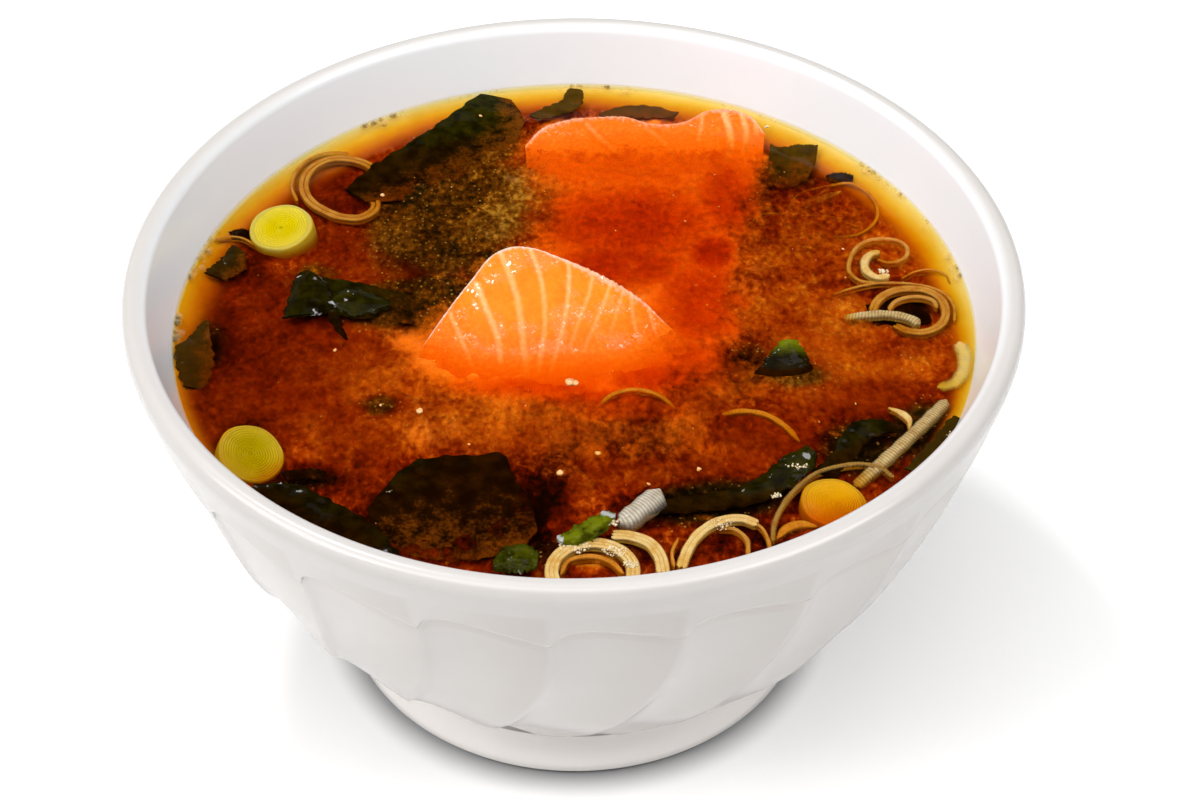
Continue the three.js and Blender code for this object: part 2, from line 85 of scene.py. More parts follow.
# Distance in plan from each place to the nearest point of a path.
def distanceTo(path, x, y):
    path = np.array(path, float)[:, :2]
    nearest = np.full(np.shape(x), 1e9)
    for a, b in zip(path[:-1], path[1:]):
        way = b - a
        along = np.clip(((x - a[0]) * way[0] + (y - a[1]) * way[1]) / max(way @ way, 1e-9), 0, 1)
        nearest = np.minimum(nearest, np.hypot(x - a[0] - along * way[0], y - a[1] - along * way[1]))
    return nearest


# Distance to an outline, positive inside it: a place is inside where a line from it crosses the
# outline an odd number of times.
def depthInside(outline, x, y):
    ring = np.vstack([outline, outline[:1]])
    inside = np.zeros(np.shape(x), bool)
    for (ax, ay), (bx, by) in zip(ring[:-1], ring[1:]):
        if ay != by:
            inside ^= ((ay > y) != (by > y)) & (x < (bx - ax) * (y - ay) / (by - ay) + ax)
    return np.where(inside, 1, -1) * distanceTo(ring, x, y)


# Smooth unevenness between about -1 and 1: products of two turned sine waves, each octave half as
# long and half as strong as the one before.
def ripple(x, y, size, seed, octaves=3):
    rng = np.random.default_rng(seed)
    total = 0
    for octave in range(octaves):
        for _ in range(3):
            turn, first, second = rng.uniform(0, 2 * math.pi, 3)
            u = (x * math.cos(turn) + y * math.sin(turn)) * 2**octave * 2 * math.pi / size
            v = (y * math.cos(turn) - x * math.sin(turn)) * 2**octave * 2 * math.pi / size
            total = total + np.sin(u + first) * np.sin(1.3 * v + second) / 2**octave
    return total / 2.2


# Faces of a skin over rows of closed loops. The ends are closed by fans, unless the last row joins
# the first.
def closedSkin(loops, joinEnds=False):
    rows, columns = loops.shape[:2]
    points = loops.reshape(-1, 3)
    ids = np.arange(rows * columns).reshape(rows, columns)
    lower, upper = (ids, np.roll(ids, -1, 0)) if joinEnds else (ids[:-1], ids[1:])
    quads = np.stack([lower, np.roll(lower, -1, 1), np.roll(upper, -1, 1), upper], -1)
    faces = [quads.reshape(-1, 4)]
    if not joinEnds:
        for row, turned in ((ids[0], True), (ids[-1], False)):
            middle = np.full(columns, len(points))
            points = np.vstack([points, points[row].mean(0)])
            ring = (np.roll(row, -1), row) if turned else (row, np.roll(row, -1))
            faces.append(np.stack([*ring, middle], -1))
    return points, faces


# Six times the volume under each face, summed: negative where the faces point inwards.
def facingOut(points, faces):
    volume = 0
    for group in faces:
        p = points[group]
        for k in range(2, group.shape[1]):
            volume += np.einsum("ij,ij->", p[:, 0], np.cross(p[:, k - 1], p[:, k]))
    return faces if volume > 0 else [group[:, ::-1] for group in faces]


# Turns arrays into a Blender piece, with number marks on its points for the materials to read.
def addPiece(name, points, faces, material, slotName, nodes=(), marks=None, sharpAbove=None):
    faces = facingOut(points, faces)
    sizes = np.concatenate([np.full(len(group), group.shape[1]) for group in faces])
    corners = np.concatenate([group.ravel() for group in faces])
    mesh = bpy.data.meshes.new(name)
    mesh.vertices.add(len(points))
    mesh.vertices.foreach_set("co", (points * millimetre).astype(np.float32).ravel())
    mesh.loops.add(len(corners))
    mesh.loops.foreach_set("vertex_index", corners.astype(np.int32))
    mesh.polygons.add(len(sizes))
    starts = np.concatenate([[0], np.cumsum(sizes)[:-1]])
    mesh.polygons.foreach_set("loop_start", starts.astype(np.int32))
    mesh.polygons.foreach_set("use_smooth", np.ones(len(sizes), bool))
    mesh.update(calc_edges=True)
    mesh.validate()
    marks = dict(marks or {})
    if slotName not in (None, "glaze"):  # 1 at 2 below the level, and 1 from 0.4 above it
        marks["sunk"] = np.clip((level - points[:, 2]) / 2, 0, 1)
        marks["proud"] = softStep(points[:, 2] - level, -0.05, 0.4)
    for mark, values in marks.items():
        full = np.zeros(len(points), np.float32)
        full[: np.size(values)] = np.ravel(values)
        mesh.attributes.new(mark, "FLOAT", "POINT").data.foreach_set("value", full)
    if sharpAbove is not None:
        mesh.set_sharp_from_angle(angle=math.radians(sharpAbove))
    mesh.materials.append(material)
    piece = bpy.data.objects.new(name, mesh)
    bpy.context.scene.collection.objects.link(piece)
    if slotName:
        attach(piece, "root")
    if nodes:
        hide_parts(*nodes)
    return piece


# Several (points, faces, marks) shapes as one.
def joined(shapes):
    offsets = np.cumsum([0] + [len(points) for points, _, _ in shapes])
    points = np.vstack([shape[0] for shape in shapes])
    faces = [group + offset for (_, groups, _), offset in zip(shapes, offsets) for group in groups]
    names = {mark for _, _, marks in shapes for mark in marks}
    marks = {}
    for mark in sorted(names):
        marks[mark] = np.zeros(len(points))
        for (_, _, own), offset in zip(shapes, offsets):
            values = np.ravel(own.get(mark, [0]))
            marks[mark][offset : offset + len(values)] = values
    return points, faces, marks


# A profile of [radius, height] turned once round Z; ends on the axis are closed by fans.
def turned(profile, columns):
    profile = np.array(profile, float)
    angle = np.linspace(0, 2 * math.pi, columns, endpoint=False)
    body = profile[profile[:, 0] > 0]
    radius, height = body[:, :1], body[:, 1:]
    loops = np.stack([radius * np.cos(angle), radius * np.sin(angle), height + 0 * angle], -1)
    points, faces = closedSkin(loops)
    points[-2] = (0, 0, profile[0, 1])
    points[-1] = (0, 0, profile[-1, 1])
    return points, faces


# Method that adds a Math node on a socket and another value, taken in the other order if turned.
def mathNode(operation, turned=False):
    def apply(self, other):
        return self.combine(operation, *((other, self) if turned else (self, other)))

    return apply


# A socket that can be used in sums: the operators add Math nodes.
class Signal:
    def __init__(self, finish, socket):
        self.finish, self.socket = finish, socket

    # One Math node on these values.
    def combine(self, operation, *values):
        return self.finish.node("ShaderNodeMath", {"operation": operation}, dict(enumerate(values)))

    __add__, __radd__ = mathNode("ADD"), mathNode("ADD", True)
    __sub__, __rsub__ = mathNode("SUBTRACT"), mathNode("SUBTRACT", True)
    __mul__, __rmul__ = mathNode("MULTIPLY"), mathNode("MULTIPLY", True)
    __pow__, __rpow__ = mathNode("POWER"), mathNode("POWER", True)

    # From 0 to 1 and back for each whole number: half of 1 plus the sine of a full turn.
    def wave(self):
        return (self * (2 * math.pi)).sine() * 0.5 + 0.5

    # Sine of it, in radians.
    def sine(self):
        return self.combine("SINE", self)

    # 0 at low, 1 at high, smooth between them and kept inside 0 and 1.
    def between(self, low, high):
        limits = {"Value": self, "From Min": low, "From Max": high}
        return self.finish.node("ShaderNodeMapRange", {"interpolation_type": "SMOOTHSTEP"}, limits)


# Builds one material; every node comes from its node method.
class Finish:
    def __init__(self, name):
        self.material = bpy.data.materials.new(name)
        self.material.use_nodes = True
        self.tree = self.material.node_tree
        self.tree.nodes.clear()
        self.output = self.tree.nodes.new("ShaderNodeOutputMaterial")

    # Adds a node, sets its settings, sets or links its inputs and gives one of its outputs.
    def node(self, kind, settings=None, inputs=None, output=0):
        made = self.tree.nodes.new(kind)
        for name, value in (settings or {}).items():
            if name == "stops":
                ramp = made.color_ramp.elements
                while len(ramp) < len(value):
                    ramp.new(0.5)
                for element, (place, color) in zip(ramp, value):
                    element.position, element.color = place, (*color, 1)
            else:
                setattr(made, name, value)
        for name, value in (inputs or {}).items():
            if isinstance(value, Signal):
                self.tree.links.new(value.socket, made.inputs[name])
            else:
                made.inputs[name].default_value = value
        return Signal(self, made.outputs[output])

    # Number that the piece's points carry under this name.
    def mark(self, name):
        return self.node("ShaderNodeAttribute", {"attribute_name": name}, output="Fac")

    # Place on the piece, in metres.
    def place(self):
        return self.node("ShaderNodeTexCoord", output="Object")

    # Place with its Y drawn together, so that flecks are longer away from the eater.
    def drawn(self):
        inputs = {0: self.place(), 1: (1.0, 0.74, 1.0)}
        return self.node("ShaderNodeVectorMath", {"operation": "MULTIPLY"}, inputs)

    # Cloudy noise from 0 to 1 whose lumps are about this many millimetres wide.
    def noise(self, size, detail=2.0, roughness=0.5, at=None, distortion=0.0):
        inputs = {"Scale": 1 / (size * millimetre), "Detail": detail, "Roughness": roughness}
        inputs |= {"Vector": at or self.place(), "Distortion": distortion}
        return self.node("ShaderNodeTexNoise", None, inputs)

    # Between two colours: the first where the share is 0, the second where it is 1.
    def mix(self, share, first, second):
        first, second = [(*c, 1) if isinstance(c, tuple) else c for c in (first, second)]
        inputs = {0: share, 6: first, 7: second}
        return self.node("ShaderNodeMix", {"data_type": "RGBA"}, inputs, output=2)

    # Normals tilted by a height of 0 to 1, which stands for this many millimetres.
    def bump(self, height, strength, distance):
        inputs = {"Height": height, "Strength": strength, "Distance": distance * millimetre}
        return self.node("ShaderNodeBump", None, inputs)

    # The material with this surface and inside.
    def done(self, surface, volume=None):
        self.tree.links.new(surface.socket, self.output.inputs["Surface"])
        if volume:
            self.tree.links.new(volume.socket, self.output.inputs["Volume"])
        return self.material

    # The whole material as one Principled shader, with what else it is given.
    def painted(self, color, roughness, others):
        inputs = {"Base Color": color, "Roughness": roughness, **others}
        return self.done(self.node("ShaderNodeBsdfPrincipled", None, inputs))

    # The same for wet food, which light enters by a depth in metres for each colour, times the weight.
    def juicy(self, color, roughness, weight, depths, others):
        longest = max(depths)
        radius = tuple(depth / longest for depth in depths)
        inside = {"Subsurface Weight": weight, "Subsurface Radius": radius, "Subsurface Scale": longest}
        return self.painted(color, roughness, {**inside, **others})


# Linear colour of a screen colour from 0 to 255.
def tone(*screen):
    shares = np.divide(screen, 255)
    return tuple(c / 12.92 if c <= 0.04045 else ((c + 0.055) / 1.055) ** 2.4 for c in shares)


brothLook = {
    "absorbed": (0.036, 0.173, 1.0),  # share of each colour that the broth takes
    "density": 780.0,  # per metre
    "cloudDepth": 1.9,  # of the miso cloud's top below the level
    "hazeDepth": 0.5,  # of the thin haze over it
    "whiteShade": 1.37,  # brightness of a white thing in this light
    "wayIn": 2.5,  # length of light's way in and out, per depth
    "mostWhite": 0.95,
    "index": 1.33,
    "glossShare": 0.3,
    "glossRoughness": 0.03,
}


# Colour that a thing at a depth must have to be seen as a screen colour through the broth.
def underBroth(screen, depth=brothLook["cloudDepth"]):
    seen = np.array(tone(*screen)) / brothLook["whiteShade"]
    way = depth * millimetre * brothLook["wayIn"] * brothLook["density"]
    passed = np.exp(-way * np.array(brothLook["absorbed"]))
    return tuple(np.clip(seen / passed, 0, brothLook["mostWhite"]))


# Colour that a thing over the broth must have to be seen as a screen colour.
def inAir(*screen):
    return tuple(np.clip(np.array(tone(*screen)) / brothLook["whiteShade"], 0, brothLook["mostWhite"]))


# A linear colour times a share.
def darker(color, share):
    return tuple(share * c for c in color)


glazeLook = {
    "inside": ((0.765, 0.785, 0.80), (0.785, 0.805, 0.82)),
    # painted shade: the same white glaze, darker and warmer, on the outside of the bowl
    "shadedOutside": ((0.455, 0.425, 0.40), (0.48, 0.45, 0.425)),
    # painted light: the same glaze, brighter and warmer, on the foot
    "foot": (0.84, 0.80, 0.765),
    # painted shade under the facets' top edges and where the foot meets the body
    "crease": (0.36, 0.29, 0.24),
    "creaseShadeShare": 0.6,
    "mottle": 14,  # size of its clouds
    "waves": 9,  # size of its unevenness
}


# White inside. By the outer mark, a warmer and greyer copy of the same glaze is painted shade on the
# outside, the lip's outer half and towards each facet's right ridge; the foot takes a brighter copy
# that is painted light, and the creases take painted shade.
def glazeFinish():
    finish = Finish("white_glaze")
    mottle = finish.noise(glazeLook["mottle"], 3)
    inside, shadedOutside = [finish.mix(mottle, *glazeLook[side]) for side in ("inside", "shadedOutside")]
    color = finish.mix(finish.mark("outer"), inside, shadedOutside)
    # Painted light: the foot takes a brighter copy of the glaze.
    color = finish.mix(finish.mark("foot"), color, glazeLook["foot"])
    # Painted shade in the creases.
    color = finish.mix(finish.mark("crease") * glazeLook["creaseShadeShare"], color, glazeLook["crease"])
    waves = finish.bump(finish.noise(glazeLook["waves"], 2), 0.1, 0.25)
    return finish.painted(color, 0.2, {"IOR": 1.45, "Normal": waves})


# Clear inside, where it takes its share of each colour, with a thin gloss on top.
def brothFinish():
    finish = Finish("clear_broth")
    white = (1, 1, 1, 1)
    clear = finish.node("ShaderNodeBsdfTransparent", None, {"Color": white})
    mirror = {"Color": white, "Roughness": brothLook["glossRoughness"]}
    gloss = finish.node("ShaderNodeBsdfGlossy", None, mirror)
    share = finish.node("ShaderNodeFresnel", None, {"IOR": brothLook["index"]}) * brothLook["glossShare"]
    surface = finish.node("ShaderNodeMixShader", None, {0: share, 1: clear, 2: gloss})
    kept = [1 - taken for taken in brothLook["absorbed"]]
    drink = {"Color": (*kept, 1), "Density": brothLook["density"]}
    return finish.done(surface, finish.node("ShaderNodeVolumeAbsorption", None, drink))


# Places from 0 to 1 with the screen colour there, from deep to light, and in the ring its depth too.
cloudLook = {
    "miso": [(0.0, (18, 3, 0)), (0.25, (76, 12, 0)), (0.45, (120, 28, 0)), (0.62, (150, 49, 1)),
             (0.82, (184, 79, 5)), (1.0, (216, 122, 20))],
    "olive": [(0.0, (10, 7, 0)), (0.3, (36, 20, 1)), (0.5, (78, 39, 2)), (0.7, (122, 66, 6)),
              (1.0, (188, 132, 40))],
    "glow": [(0.0, (160, 24, 0)), (0.3, (186, 40, 0)), (0.55, (216, 66, 0)), (0.8, (238, 92, 4)),
             (1.0, (250, 120, 18))],
    "ring": [(0.0, (238, 217, 176), 0.4), (0.07, (230, 204, 132), 0.6), (0.17, (227, 188, 84), 0.8),
             (0.29, (218, 165, 34), 1.1), (0.43, (207, 135, 4), 1.4), (0.6, (192, 99, 2), 1.6),
             (0.85, (152, 55, 0), 1.8)],
    "speck": (232, 172, 70),
    "speckApart": 1.3,  # millimetres, as for the sizes that follow
    "billow": 8.5,
    "curd": 3.2,
    "fleck": 1.1,
}


# Colour of the miso at each place. A lightness is the light mark plus slow billows and quick
# flecks; it runs through the miso, olive and glow colours, which are laid over each other by the
# olive and fish marks, and towards the wall the ring's amber takes over.
def cloudColor(finish, depth, lift):
    # A table's colours by a value, each as it must be to be seen through the broth over it.
    def ramp(name, value):
        stops = [(at, underBroth(screen, *(own or [depth]))) for at, screen, *own in cloudLook[name]]
        return finish.node("ShaderNodeValToRGB", {"stops": stops}, {"Fac": value})

    at = finish.drawn()
    billow = finish.noise(cloudLook["billow"], 6, 0.6, at, 0.7) - 0.5
    curd = finish.noise(cloudLook["curd"], 5, 0.6, at, 0.9) - 0.5
    fleck = finish.noise(cloudLook["fleck"], 3, 0.55, at, 0.3) - 0.5
    light, olive, fish = finish.mark("light"), finish.mark("olive"), finish.mark("fish")
    deep, ring, calm = finish.mark("deep"), finish.mark("ring"), finish.mark("calm")
    rough = fleck * (1.05 - calm * 0.75) + curd * (0.65 - calm * 0.4)
    value = light + lift + billow * (0.95 - calm * 0.4) + rough
    color = ramp("miso", value)
    share = (olive + billow * 0.9 + rough * 0.5).between(0.25, 0.75)
    color = finish.mix(share, color, ramp("olive", value + rough * 0.4))
    share = (fish + billow * 1.2 + rough * 0.7).between(0.12, 0.88)
    color = finish.mix(share, color, ramp("glow", 1.0 - deep + billow * 0.5 + fleck * 0.4))
    cells = {"Scale": 1 / (cloudLook["speckApart"] * millimetre), "Vector": finish.place()}
    dot = finish.node("ShaderNodeTexVoronoi", None, cells)
    speck = (0.2 - dot).between(0.0, 0.09) * (light + olive + billow * 2.0 - 0.45).between(0.1, 0.5)
    color = finish.mix(speck * 0.45, color, underBroth(cloudLook["speck"], depth))
    share = (ring + billow * 0.35 + fleck * 0.2).between(0.5, 1.0)
    return finish.mix(share, ramp("ring", ring + billow * 0.12), color)


# Dull miso in its colour.
def cloudFinish():
    finish = Finish("miso_cloud")
    color = cloudColor(finish, brothLook["cloudDepth"], 0.0)
    return finish.painted(color, 1.0, {"Specular IOR Level": 0.0})


# Thin miso high in the broth, seen through where the veil mark is low.
def hazeFinish():
    finish = Finish("miso_haze")
    color = cloudColor(finish, brothLook["hazeDepth"], 0.06)
    at = finish.drawn()
    billow = finish.noise(5.0, 6, 0.62, at, 0.7) - 0.5
    fleck = finish.noise(1.0, 4, 0.6, at) - 0.5
    alpha = (finish.mark("veil") + billow * 1.4 + fleck * 1.3).between(0.2, 1.1) * 0.9
    return finish.painted(color, 1.0, {"Specular IOR Level": 0.0, "Alpha": alpha})


# How deep light enters food, in metres for each colour.
lightDepths = {
    "salmon": (0.0012, 0.00036, 0.000072),
    "core": (0.001, 0.0009, 0.0002),
    "leek": (0.0008, 0.00056, 0.00024),
}
salmonLook = {  # screen colours
    "flesh": (252, 142, 26),
    "low": (246, 104, 4),  # towards the broth
    "cloudy": (248, 116, 12),
    "fibre": (253, 158, 52),
    "fat": (254, 196, 126),
    "film": (240, 216, 200),
    # painted glints on the wet flesh
    "flake": (254, 226, 190),
    "sunk": (230, 84, 0),
    "sunkDepth": 1.4,
}


# Orange flesh, redder by its low mark, with fat lines and a white film, and pale flecks in wet
# patches above the broth that are painted glints; under the broth it takes the glow's colour, the
# deeper the more.
def salmonFinish():
    finish = Finish("salmon_flesh")
    seen = {name: inAir(*screen) for name, screen in salmonLook.items() if name != "sunkDepth"}
    fibre = finish.noise(0.7, 4)
    cloudy = finish.noise(3.2, 4, 0.6)
    glintFlecks = finish.noise(0.6, 2, 0.6)
    color = finish.mix(finish.mark("low"), seen["flesh"], seen["low"])
    color = finish.mix(cloudy.between(0.35, 0.7) * 0.5, color, seen["cloudy"])
    color = finish.mix(fibre.between(0.4, 0.8) * 0.4, color, seen["fibre"])
    color = finish.mix(finish.mark("stripe") * (fibre * 0.8 + 0.4), color, seen["fat"])
    color = finish.mix(finish.mark("film") * (fibre * 0.8 + 0.5), color, seen["film"])
    # Wet patches above the broth: they carry the coat and the painted glints.
    wetAndGlint = (finish.noise(4.5, 2) - 0.48).between(0.0, 0.1) * finish.mark("proud")
    color = finish.mix((glintFlecks - 0.6).between(0.0, 0.08) * wetAndGlint * 0.6, color, seen["flake"])
    depth = (finish.mark("sunk") + (cloudy - 0.5) * 0.6).between(0.0, 1.1) * 0.9
    color = finish.mix(depth * 0.8, color, underBroth(salmonLook["sunk"], salmonLook["sunkDepth"]))
    relief = finish.noise(0.5, 3, 0.6) + finish.noise(2.4, 2) * 1.6
    others = {"Specular IOR Level": 0.06, "Coat Weight": wetAndGlint * 0.6 + 0.03, "Coat Roughness": 0.05}
    others["Normal"] = finish.bump(relief, 0.5, 0.25)
    return finish.juicy(color, 0.5, 0.12, lightDepths["salmon"], others)


coreLooks = {  # screen colours; dot darkens the middle, lower the half towards the eater
    "core": {
        "name": "leek_core_yellow", "heart": (214, 192, 0), "skin": (200, 182, 84), "dot": 0.7,
        "lower": 0.25, "lowColor": (196, 160, 0),
    },
    "coreGreen": {
        "name": "leek_core_green", "heart": (172, 150, 0), "skin": (190, 156, 40), "dot": 0.4,
        "lower": 0.4, "lowColor": (180, 124, 0),
    },
    "coreOrange": {
        "name": "leek_core_orange", "heart": (218, 158, 6), "skin": (196, 148, 30), "dot": 0.0,
        "lower": 0.95, "lowColor": (186, 78, 0),
    },
}


# Thin layers round a slice's middle by the layer mark, 0 there and 1 at its side: yellow at the
# heart, a paler ring, and a glassy skin with an amber edge.
def coreFinish(look):
    finish = Finish(look["name"])
    heart, skin = inAir(*look["heart"]), inAir(*look["skin"])
    layer = finish.mark("layer")
    wobble = finish.noise(1.8, 3)
    rings = (layer * 12 + wobble * 2.2).wave()
    pale = tuple(0.62 * a + 0.5 * b for a, b in zip(heart, skin))
    amber = tuple(c * share for c, share in zip(skin, (0.95, 0.68, 0.12)))
    color = finish.mix(layer.between(0.4, 0.8), heart, pale)
    color = finish.mix(rings * wobble * 0.6, color, darker(heart, 0.6))
    color = finish.mix((layer + wobble * 0.06).between(0.88, 0.92), color, skin)
    gap = finish.node("ShaderNodeMath", {"operation": "ABSOLUTE"}, {0: layer - 0.87})
    color = finish.mix((0.04 - gap).between(0, 0.04) * 0.4, color, darker(skin, 0.72))
    color = finish.mix(layer.between(0.965, 0.995) * 0.85, color, amber)
    color = finish.mix((0.08 - layer).between(0.0, 0.07) * look["dot"], color, darker(heart, 0.2))
    color = finish.mix(finish.mark("lower") * look["lower"], color, inAir(*look["lowColor"]))
    depth = (finish.mark("sunk") + (wobble - 0.5) * 0.3).between(0.0, 1.0) * 0.9
    color = finish.mix(depth, color, underBroth((176, 86, 2), 1.0))
    others = {"Specular IOR Level": 0.0, "Coat Weight": finish.mark("proud") * 0.05}
    others |= {"Coat Roughness": 0.12, "Normal": finish.bump(rings, 0.2, 0.08)}
    return finish.juicy(color, 0.4, 0.1, lightDepths["core"], others)


# Screen colours, ribs across a strip in each millimetre and how dark they are, how clear it is, and
# how far it takes the miso's colour under the broth.
leekLooks = {
    "leek": {
        "name": "leek_layer", "light": (206, 144, 54), "dark": (168, 96, 20), "ribs": 1.9,
        "ribbed": 0.22, "clear": 0.15,
    },
    "leekPale": {
        "name": "leek_pale_layer", "light": (238, 206, 136), "dark": (206, 152, 66), "ribs": 2.0,
        "ribbed": 0.12, "clear": 0.14,
    },
    "leekClear": {
        "name": "leek_clear_layer", "light": (214, 156, 74), "dark": (176, 104, 26), "ribs": 1.8,
        "ribbed": 0.15, "clear": 0.26, "fading": 0.7,
    },
    "leekRibbed": {
        "name": "leek_ribbed_layer", "light": (222, 198, 142), "dark": (166, 124, 62), "ribs": 1.8,
        "ribbed": 0.55, "clear": 0.16,
    },
    "leekYellow": {
        "name": "leek_yellow_layer", "light": (255, 236, 160), "dark": (246, 208, 104), "ribs": 1.4,
        "ribbed": 0.12, "clear": 0.5, "fading": 0.2,
    },
    "leekSunk": {
        "name": "leek_sunk_layer", "light": (216, 134, 26), "dark": (182, 98, 10), "ribs": 1.5,
        "ribbed": 0.15, "clear": 0.1, "fading": 0.3, "depth": 1.0,
    },
    "leekDim": {
        "name": "leek_dim_layer", "light": (184, 142, 70), "dark": (132, 88, 26), "ribs": 1.8,
        "ribbed": 0.3, "clear": 0.3, "fading": 0.8,
    },
    "leekWhite": {
        "name": "leek_white_layer", "light": (218, 210, 192), "dark": (180, 164, 138), "ribs": 1.7,
        "ribbed": 0.6, "clear": 0.0,
    },
}


# Layers seen edge on, with fine ribs across the strip by its length mark, clearer at the strip's
# sides; under the broth they take the miso's colour, the deeper the more.
def leekFinish(look):
    finish = Finish(look["name"])
    depth = look.get("depth", 0)
    light, dark = [underBroth(look[shade], depth) for shade in ("light", "dark")]
    along, across = finish.mark("along"), finish.mark("across")
    blotch = finish.noise(2.2, 4, 0.6)
    fleck = finish.noise(0.7, 3)
    ribbing = (along * look["ribs"] + blotch * 0.8 + across * 0.12).wave()
    layers = (across * 7.5 + blotch * 1.3).sine() * 0.5 + 0.5
    color = finish.mix(blotch.between(0.3, 0.75), light, dark)
    color = finish.mix(fleck.between(0.45, 0.75) * 0.4, color, light)
    color = finish.mix(ribbing * look["ribbed"], color, darker(dark, 0.4))
    color = finish.mix(layers * 0.2, color, darker(dark, 0.6))
    taken = (finish.mark("sunk") + (blotch - 0.5) * 0.35).between(0.0, 0.9) * look.get("fading", 0.94)
    color = finish.mix(taken, color, underBroth((160, 76, 4), 1.0))
    alpha = (1.0 - look["clear"] - across * across * 0.72 + (blotch - 0.5) * 0.5).between(0.0, 0.9)
    others = {"Specular IOR Level": 0.02, "Coat Weight": finish.mark("proud") * 0.12}
    others |= {"Coat Roughness": 0.1, "Alpha": alpha}
    others["Normal"] = finish.bump(ribbing + layers * 0.5, 0.3, 0.1)
    return finish.juicy(color, 0.45, 0.15, lightDepths["leek"], others)


wakameLook = {
    "sunk": ((0.005, 0.0013, 0.0), (0.016, 0.0041, 0.0)),  # linear colours
    "proud": ((0.0036, 0.0022, 0.0), (0.010, 0.0064, 0.0001)),
    "green": (0.10, 0.115, 0.002),
    "thin": (84, 50, 5),  # screen colours
    "dust": (108, 50, 3),
    # painted highlight colour
    "gleam": (206, 206, 210),
}


# Dark leaf: brown under the broth, green-black and glossy where it stands proud of it, greener
# still by its green mark, browner where it is thin, dusted with miso by its mist mark, and with
# painted highlights on its folds by its gleam mark.
def wakameFinish():
    finish = Finish("wakame_leaf")
    wet = finish.mark("proud")
    vein = finish.noise(2.6, 5, 0.62)
    sunk, proud = [finish.mix(vein.between(0.35, 0.7), *wakameLook[side]) for side in ("sunk", "proud")]
    leaf = finish.mix(wet, sunk, proud)
    leaf = finish.mix(finish.mark("green") * (vein * 3.6 - 1.1), leaf, wakameLook["green"])
    leaf = finish.mix(finish.mark("thin") * (vein * 0.8 + 0.5), leaf, underBroth(wakameLook["thin"], 0.5))
    dust = finish.noise(0.6, 3, 0.65) - 0.5
    veil = (finish.mark("mist") + dust * 1.5 + (finish.noise(2.6, 4) - 0.5) * 1.5).between(0.3, 1.25)
    color = finish.mix(veil, leaf, underBroth(wakameLook["dust"], 0.6))
    # Painted highlights: pale spots on the folds where the gleam mark is set.
    highlightSpots = (finish.noise(2.7, 2, 0.5, finish.drawn(), 0.6) - 0.62).between(0.0, 0.06)
    color = finish.mix(highlightSpots * finish.mark("gleam") * wet, color, inAir(*wakameLook["gleam"]))
    others = {"Specular IOR Level": 0.0, "Coat Weight": wet * (1.0 - veil * 0.9) * 0.08}
    others |= {"Coat Roughness": 0.05, "Normal": finish.bump(finish.noise(3.2, 2), 0.2, 0.5)}
    return finish.painted(color, 0.5, others)


# A clear film whose rim is brown, brighter and glossier where it is seen at a slant.
def bubbleFinish():
    finish = Finish("bubble_film")
    clear = finish.node("ShaderNodeBsdfTransparent", None, {"Color": (1, 0.97, 0.9, 1)})
    brown = {"Base Color": (0.95, 0.78, 0.46, 1), "Roughness": 0.1, "Coat Weight": 0.5}
    wall = finish.node("ShaderNodeBsdfPrincipled", None, brown)
    facing = finish.node("ShaderNodeLayerWeight", None, {"Blend": 0.5}, output="Facing")
    share = facing**3.0 * 0.42 + 0.05
    return finish.done(finish.node("ShaderNodeMixShader", None, {0: share, 1: clear, 2: wall}))


# Two pale colours mixed by a noise, under a weak gloss.
def foamFinish():
    finish = Finish("foam")
    color = finish.mix(finish.noise(0.8, 2), inAir(226, 196, 138), inAir(252, 238, 206))
    return finish.painted(color, 0.3, {"Coat Weight": 0.3})


# Two tans mixed by a noise.
def crumbFinish():
    finish = Finish("crumb")
    color = finish.mix(finish.noise(0.6, 2), tone(206, 140, 76), tone(232, 188, 132))
    return finish.painted(color, 0.4, {})


floorLook = {
    "pale": ((0.93, 0.93, 0.93), (0.95, 0.95, 0.95)),
    # painted contact shadow
    "paintedContactShadow": (0.16, 0.16, 0.17),  # beside the foot
    "contactEnd": 0.049,  # metres from the middle
    "contactWidth": 0.008,
}


# White, with a painted shadow near the foot, where the bowl shades it.
def floorFinish():
    finish = Finish("studio_floor")
    color = finish.mix(finish.noise(400, 1), *floorLook["pale"])
    away = finish.node("ShaderNodeVectorMath", {"operation": "LENGTH"}, {0: finish.place()}, output=1)
    paintedContactShadow = (floorLook["contactEnd"] - away).between(0.0, floorLook["contactWidth"])
    color = finish.mix(paintedContactShadow * 0.85, color, floorLook["paintedContactShadow"])
    return finish.painted(color, 0.9, {"Specular IOR Level": 0.1})


finishes = {
    "glaze": glazeFinish(),
    "broth": brothFinish(),
    "cloud": cloudFinish(),
    "haze": hazeFinish(),
    "salmon": salmonFinish(),
    **{name: coreFinish(look) for name, look in coreLooks.items()},
    **{name: leekFinish(look) for name, look in leekLooks.items()},
    "wakame": wakameFinish(),
    "bubble": bubbleFinish(),
    "foam": foamFinish(),
    "crumb": crumbFinish(),
    "floor": floorFinish(),
}
print("finishes made")


